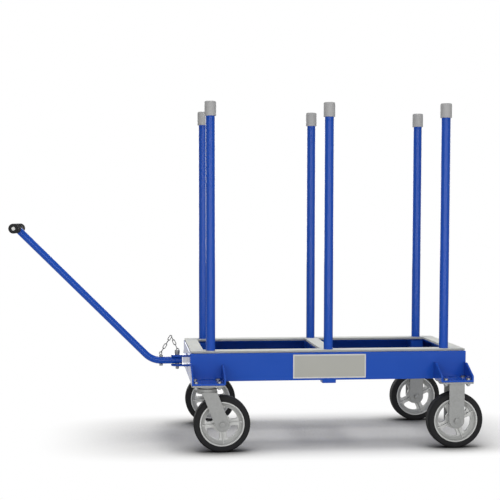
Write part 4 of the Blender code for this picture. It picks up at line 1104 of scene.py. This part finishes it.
class DOLLY_OT_handle(Operator):
    """Bend the tow tube with its cross bar and push on the grips"""
    bl_idname = "dolly.handle"
    bl_label = "Tow handle"

    def execute(self, context):
        sizes = context.scene.dolly_handle
        tube, level, slope = sizes.tube, tow_level(), math.radians(45)
        box = Box("handle_tube")
        bar = Vector((box.low.x + tube, 0, box.high.z - tube))
        bend_x = bar.x + (bar.z - level) / math.tan(slope)
        route = [(box.high.x - 0.0001, 0, level), (bend_x, 0, level), bar]
        tow_tube = sewn(grown(points_mesh(route, [(0, 1), (1, 2)]), "Bent pipe", "Blue paint", radius=tube,
                              bend=sizes.bend))
        profile = sleeve(tube - sizes.tube_wall, tube, box.low.y, box.high.y, 0.0005, 0.0008)
        cross_bar = turned(profile, Matrix.Translation(bar) @ ACROSS_Y, 48, 3)
        run = Vector((math.cos(slope), 0, -math.sin(slope)))
        rise = Vector((math.sin(slope), 0, math.cos(slope)))
        seam = [bar + Vector((0, across, 0)) - rise * up + run * abs(across)
                for up, across in arc((0, 0), tube, 0, TURN, 48)]
        bead = weld_bead(seam, [(i, i + 1) for i in range(48)], context.scene.dolly_frame, 0.8)
        dress("bent_tow_tube", joined([tow_tube, cross_bar, bead]), "Blue paint", "handle_tube")
        plug, plug_depth, plug_ease, sunk, inset = 0.0110, 0.0010, 0.0002, 0.0012, 0.0002
        place = Matrix.Translation(bar) @ Matrix.Rotation(-QUARTER, 4, "X")
        faces = (box.low.y + sunk, box.high.y - inset)
        plugs = [disc(plug, y - plug_depth, y, plug_ease, place, 48) for y in faces]
        dress("bar_end_plugs", joined(plugs), "Plate border", body=BODIES["handle_tube"])
        for side, sign in SIDES:
            dress("ringed_grip_" + side, grip(sizes, side, sign, bar), "Grip rubber", "grip_" + side)
        return {"FINISHED"}


class DOLLY_OT_pin(Operator):
    """Turn the drop pin and the tether bolt and hang the chain between them"""
    bl_idname = "dolly.pin"
    bl_label = "Drop pin and chain"

    def execute(self, context):
        sizes = context.scene.dolly_handle
        plate, level = Box("hitch_plate_upper"), tow_level()
        pin_inset, bolt_offset, bolt_rise, pin_rise = 0.0235, 0.0615, 0.0302, 0.02115
        pin_x = plate.low.x + pin_inset
        bolt_x = pin_x - bolt_offset
        start = Vector((bolt_x, 0, level + bolt_rise))
        end = Vector((pin_x, 0, plate.high.z + pin_rise))
        joints = self.chain(sizes, start, end)
        self.drop_pin(sizes, plate.high.z + GAP, pin_x, self.eye_middle(sizes, joints[-1], joints[-2]))
        self.tether_bolt(sizes, level, bolt_x, self.eye_middle(sizes, joints[0], joints[1]))
        return {"FINISHED"}

    @staticmethod
    def eye_middle(sizes, joint, towards):
        """Where an eye lies so that its wire holds the chain's end."""
        return joint + (towards - joint).normalized() * (sizes.wire + GAP / 2 - sizes.eye)

    @staticmethod
    def chain(sizes, start, end):
        """Seven links in an arch, four up and three down. Returns the joints between them."""
        base = end - start
        up, down = 4 * sizes.pitch, 3 * sizes.pitch
        along = (up ** 2 - down ** 2 + base.length_squared) / (2 * base.length)
        direction = base.normalized()
        upwards = Vector((-direction.z, 0, direction.x))
        top = start + direction * along + upwards * math.sqrt(up ** 2 - along ** 2)
        joints = [start.lerp(top, step / 4) for step in range(4)]
        joints += [top.lerp(end, step / 3) for step in range(4)]
        spans = list(zip(joints, joints[1:]))
        host = points_mesh([(a + b) / 2 for a, b in spans])
        host.attributes.new("heading", "FLOAT_VECTOR", "POINT")
        host.attributes.new("roll", "FLOAT", "POINT")
        for number, (a, b) in enumerate(spans):
            host.attributes["heading"].data[number].vector = (b - a).normalized()
            host.attributes["roll"].data[number].value = QUARTER * (number % 2)
        links = grown(host, "Chain links", "Chain steel", wire=sizes.wire, half_width=sizes.link,
                      straight=sizes.pitch / 2 + sizes.wire * 0.9 - sizes.link)
        margin = 0.004
        follow = ("handle", "pin", start + Vector((margin, 0, 0)), Vector((end.x - margin, 0, start.z)))
        dress("tether_links", links, "Chain steel", "tether_chain", angle=80, between=follow)
        return joints

    @staticmethod
    def drop_pin(sizes, head_foot, pin_x, eye_middle):
        head, head_height, foot = 0.0095, 0.0165, Box("hitch_pin").low.z
        pin = turned([
            (0, head_foot + head_height), (head, head_foot + head_height, 0.0018), (head, head_foot, 0.0006),
            (sizes.pin, head_foot), (sizes.pin, foot, 0.0024), (0, foot),
        ], at(pin_x), 48)
        dress("turned_drop_pin", joined([pin, eye(eye_middle, sizes.eye, sizes.wire)]), "Zinc", "hitch_pin")

    @staticmethod
    def tether_bolt(sizes, level, bolt_x, eye_middle):
        nut, nut_height, seat, ease = 0.0067, 0.0062, sizes.tube + 0.0002, 0.0004
        top = eye_middle.z - sizes.eye + 0.0005
        stem = disc(sizes.stem, Box("tether_bolt").low.z + ease, top, ease, at(bolt_x), 32)
        heads = [hexagons([(bolt_x, 0, level + hand * seat)], (0, 0, hand), nut, nut_height, nut, 0.0010)
                 for hand in (-1, 1)]
        mesh = joined([stem, eye(eye_middle, sizes.eye, sizes.wire)] + heads)
        dress("threaded_tether_bolt", mesh, "Zinc", "tether_bolt")


class DOLLY_OT_plate(Operator):
    """Fix the blank plate to the near side rail"""
    bl_idname = "dolly.plate"
    bl_label = "Blank plate"

    def execute(self, context):
        half, thick, corner, edge = Vector((0.134, 0.0435)), 0.0008, 0.002, 0.0002
        border, border_thick, border_corner = 0.0045, 0.0006, 0.0015
        rail = Box("side_rail_near")
        face = at(rail.middle.x, rail.low.y - thick / 2, rail.middle.z) @ ACROSS_Y
        outline = rectangle(-half, half, corner)
        dress("blank_plate", flat([outline], thick, edge, face), "Plate face", body="frame")
        frame_loops = [outline, rectangle(-half, half, border_corner, border)]
        raised = flat(frame_loops, border_thick, edge, at(y=-thick * 0.8) @ face)
        dress("blank_plate_border", raised, "Plate border", body="frame")
        return {"FINISHED"}


def background_ray(nodes):
    """How much of the white background a ray sees: all from the camera, half in a reflection, else none."""
    reflected = 0.5
    path = nodes.add("ShaderNodeLightPath").outputs
    seen = path["Is Camera Ray"]
    for kind in ("Is Glossy Ray", "Is Transmission Ray"):
        seen = nodes.maths("MULTIPLY_ADD", path[kind], reflected, seen, clamp=True)
    return seen


def floor_material(base):
    """A matt floor that takes the shadow near the dolly and fades to the white background further out. Its
    colour also carries painted shade: ambient occlusion darkens it under and around the dolly and next to the
    tyres.
    """
    room_shade_reach, contact_shade_reach = 0.6, 0.12
    middle, spread = Vector((0.25, 0.02)), Vector((0.86, 0.42))
    fade_start, fade_end = 0.25, 1.45
    material = bpy.data.materials.new("Stage floor")
    material.use_nodes = True
    nodes = Nodes(material.node_tree)
    nodes.tree.nodes.clear()

    # Painted shade: ambient occlusion darkens the floor's colour near the dolly, once over a room reach and
    # again over a short contact reach.
    def painted_shade(tint, reach):
        return nodes.add("ShaderNodeAmbientOcclusion", {"Color": tint, "Distance": reach}, samples=8).outputs

    contact_shade = painted_shade(painted_shade((*base, 1), room_shade_reach)["Color"], contact_shade_reach)
    matt = nodes.add("ShaderNodeBsdfDiffuse", {"Color": contact_shade["Color"]})
    white = nodes.add("ShaderNodeEmission")
    place = nodes.add("ShaderNodeTexCoord").outputs["Object"]
    scale = (1 / spread.x, 1 / spread.y, 0)
    shift = (-middle.x / spread.x, -middle.y / spread.y, 0)
    squeezed = nodes.vector("MULTIPLY_ADD", place, scale, shift)
    square = nodes.vector("MULTIPLY", squeezed, squeezed)
    distance = nodes.add("ShaderNodeVectorMath", {0: square}, operation="LENGTH").outputs["Value"]
    seen = nodes.ramp(distance, fade_start, fade_end)
    # The painted contact shade also holds the white fade off the floor beside the tyres, so the shade there
    # stays dark.
    for share in (background_ray(nodes), contact_shade["AO"], contact_shade["AO"]):
        seen = nodes.maths("MULTIPLY", seen, share)
    nodes.output("Material", seen, matt, white)
    return material


def studio_world(room, back):
    """A dim room with a bright backdrop low on the +Y side, under the white background of background_ray."""
    world = bpy.data.worlds.new("Studio")
    world.use_nodes = True
    nodes = Nodes(world.node_tree)
    nodes.tree.nodes.clear()
    direction = nodes.add("ShaderNodeTexCoord").outputs["Generated"]
    split = nodes.add("ShaderNodeSeparateXYZ", {0: direction}).outputs
    backdrop = nodes.maths("MULTIPLY", nodes.ramp(split["Y"], 0.0, 0.35), nodes.ramp(split["Z"], 0.75, 0.35))
    glow = nodes.maths("MULTIPLY_ADD", backdrop, back, room)
    light = nodes.add("ShaderNodeBackground", {"Color": (1, 1, 1, 1), "Strength": glow})
    white = nodes.add("ShaderNodeBackground", {"Color": (1, 1, 1, 1)})
    nodes.output("World", background_ray(nodes), light, white)
    return world


def lamp(name, place, aim, watts, size, lit=None):
    """A panel light that faces its aim and is hidden from the camera. It lights one collection, or all."""
    light = bpy.data.lights.new(name, "AREA")
    light.energy, light.shape, light.size, light.size_y = watts, "RECTANGLE", *size
    holder = put(name, light)
    holder.location = place
    holder.rotation_euler = (Vector(aim) - Vector(place)).to_track_quat("-Z", "Y").to_euler()
    holder.visible_camera = False
    if lit:
        holder.light_linking.receiver_collection = lit


class DOLLY_OT_stage(Operator):
    """Set the pale floor, the soft light and the camera"""
    bl_idname = "dolly.stage"
    bl_label = "Stage"

    def execute(self, context):
        look, scene = context.scene.dolly_stage, context.scene
        reach = 60
        floor_mesh = bpy.data.meshes.new("floor")
        corners = [(-reach, -reach, 0), (reach, -reach, 0), (reach, reach, 0), (-reach, reach, 0)]
        floor_mesh.from_pydata(corners, [], [(0, 1, 2, 3)])
        floor_mesh.materials.append(floor_material(look.floor))
        floor = put("floor", floor_mesh)
        scene.world = studio_world(look.room, look.back)

        dolly = bpy.data.collections.new("Lit by the panels")
        ground = bpy.data.collections.new("Lit by the floor light")
        unlit = ("rolled_side_rail_far", "square_cross_rail", "side_board_near", "side_board_far",
                 "end_board_hitch", "end_board_rear", "cross_board")
        for item in scene.objects:
            if item.type == "MESH" and item.name not in unlit:
                (ground if item is floor else dolly).objects.link(item)
        lamp("top_lamp", (0.3, -0.2, 6.0), (0.3, 0, 0), look.top, (4.2, 4.2))
        lamp("floor_lamp", (0.3, -0.2, 6.0), (0.3, 0, 0), look.wash, (3.4, 3.4), ground)
        lamp("front_lamp", (-0.2, -5.5, 0.96), (-0.2, 0, 0.96), look.front, (9.0, 1.9), dolly)
        lamp("rear_lamp", (0.3, 5.5, 1.4), (0.3, 0, 0.6), look.rear, (7.0, 1.9), dolly)

        camera = bpy.data.cameras.new("camera")
        camera.lens = 80.182
        camera.sensor_width = 36
        camera.shift_x, camera.shift_y = 0.03, 0.08
        camera.clip_end = 200
        scene.camera = put("camera", camera)
        scene.camera.location = (-0.4241, -4.2116, 0.8253)
        tilt_down, turned_by = 3.587, -5.4623
        scene.camera.rotation_euler = (math.radians(90 - tilt_down), 0, math.radians(turned_by))
        scene.view_settings.view_transform = "Standard"
        return {"FINISHED"}


OPERATORS = (
    DOLLY_OT_finishes, DOLLY_OT_rails, DOLLY_OT_boards, DOLLY_OT_brackets, DOLLY_OT_welds, DOLLY_OT_posts,
    DOLLY_OT_wheels, DOLLY_OT_forks, DOLLY_OT_handle, DOLLY_OT_pin, DOLLY_OT_plate, DOLLY_OT_stage,
)
GROUPS = (
    ("dolly_colours", DollyColours), ("dolly_frame", FrameSizes), ("dolly_wheels", WheelSizes),
    ("dolly_handle", HandleSizes), ("dolly_stage", StageLook),
)


class DOLLY_PT_panel(Panel):
    """Sizes, colours and steps of the slab dolly"""
    bl_idname = "DOLLY_PT_panel"
    bl_label = "Slab Dolly"
    bl_space_type = "VIEW_3D"
    bl_region_type = "UI"
    bl_category = "Slab Dolly"

    def draw(self, context):
        for name, group in GROUPS:
            box = self.layout.box()
            box.label(text=group.__doc__)
            for key in group.__annotations__:
                box.prop(getattr(context.scene, name), key)
        for operator in OPERATORS:
            self.layout.operator(operator.bl_idname)


def register():
    for name, group in GROUPS:
        bpy.utils.register_class(group)
        setattr(bpy.types.Scene, name, PointerProperty(type=group))
    for operator in OPERATORS:
        bpy.utils.register_class(operator)
    bpy.utils.register_class(DOLLY_PT_panel)


def unregister():
    bpy.utils.unregister_class(DOLLY_PT_panel)
    for operator in reversed(OPERATORS):
        bpy.utils.unregister_class(operator)
    for name, group in reversed(GROUPS):
        delattr(bpy.types.Scene, name)
        bpy.utils.unregister_class(group)


def main():
    register()
    for operator in OPERATORS:
        group, name = operator.bl_idname.split(".")
        getattr(getattr(bpy.ops, group), name)()


if __name__ == "__main__":
    main()
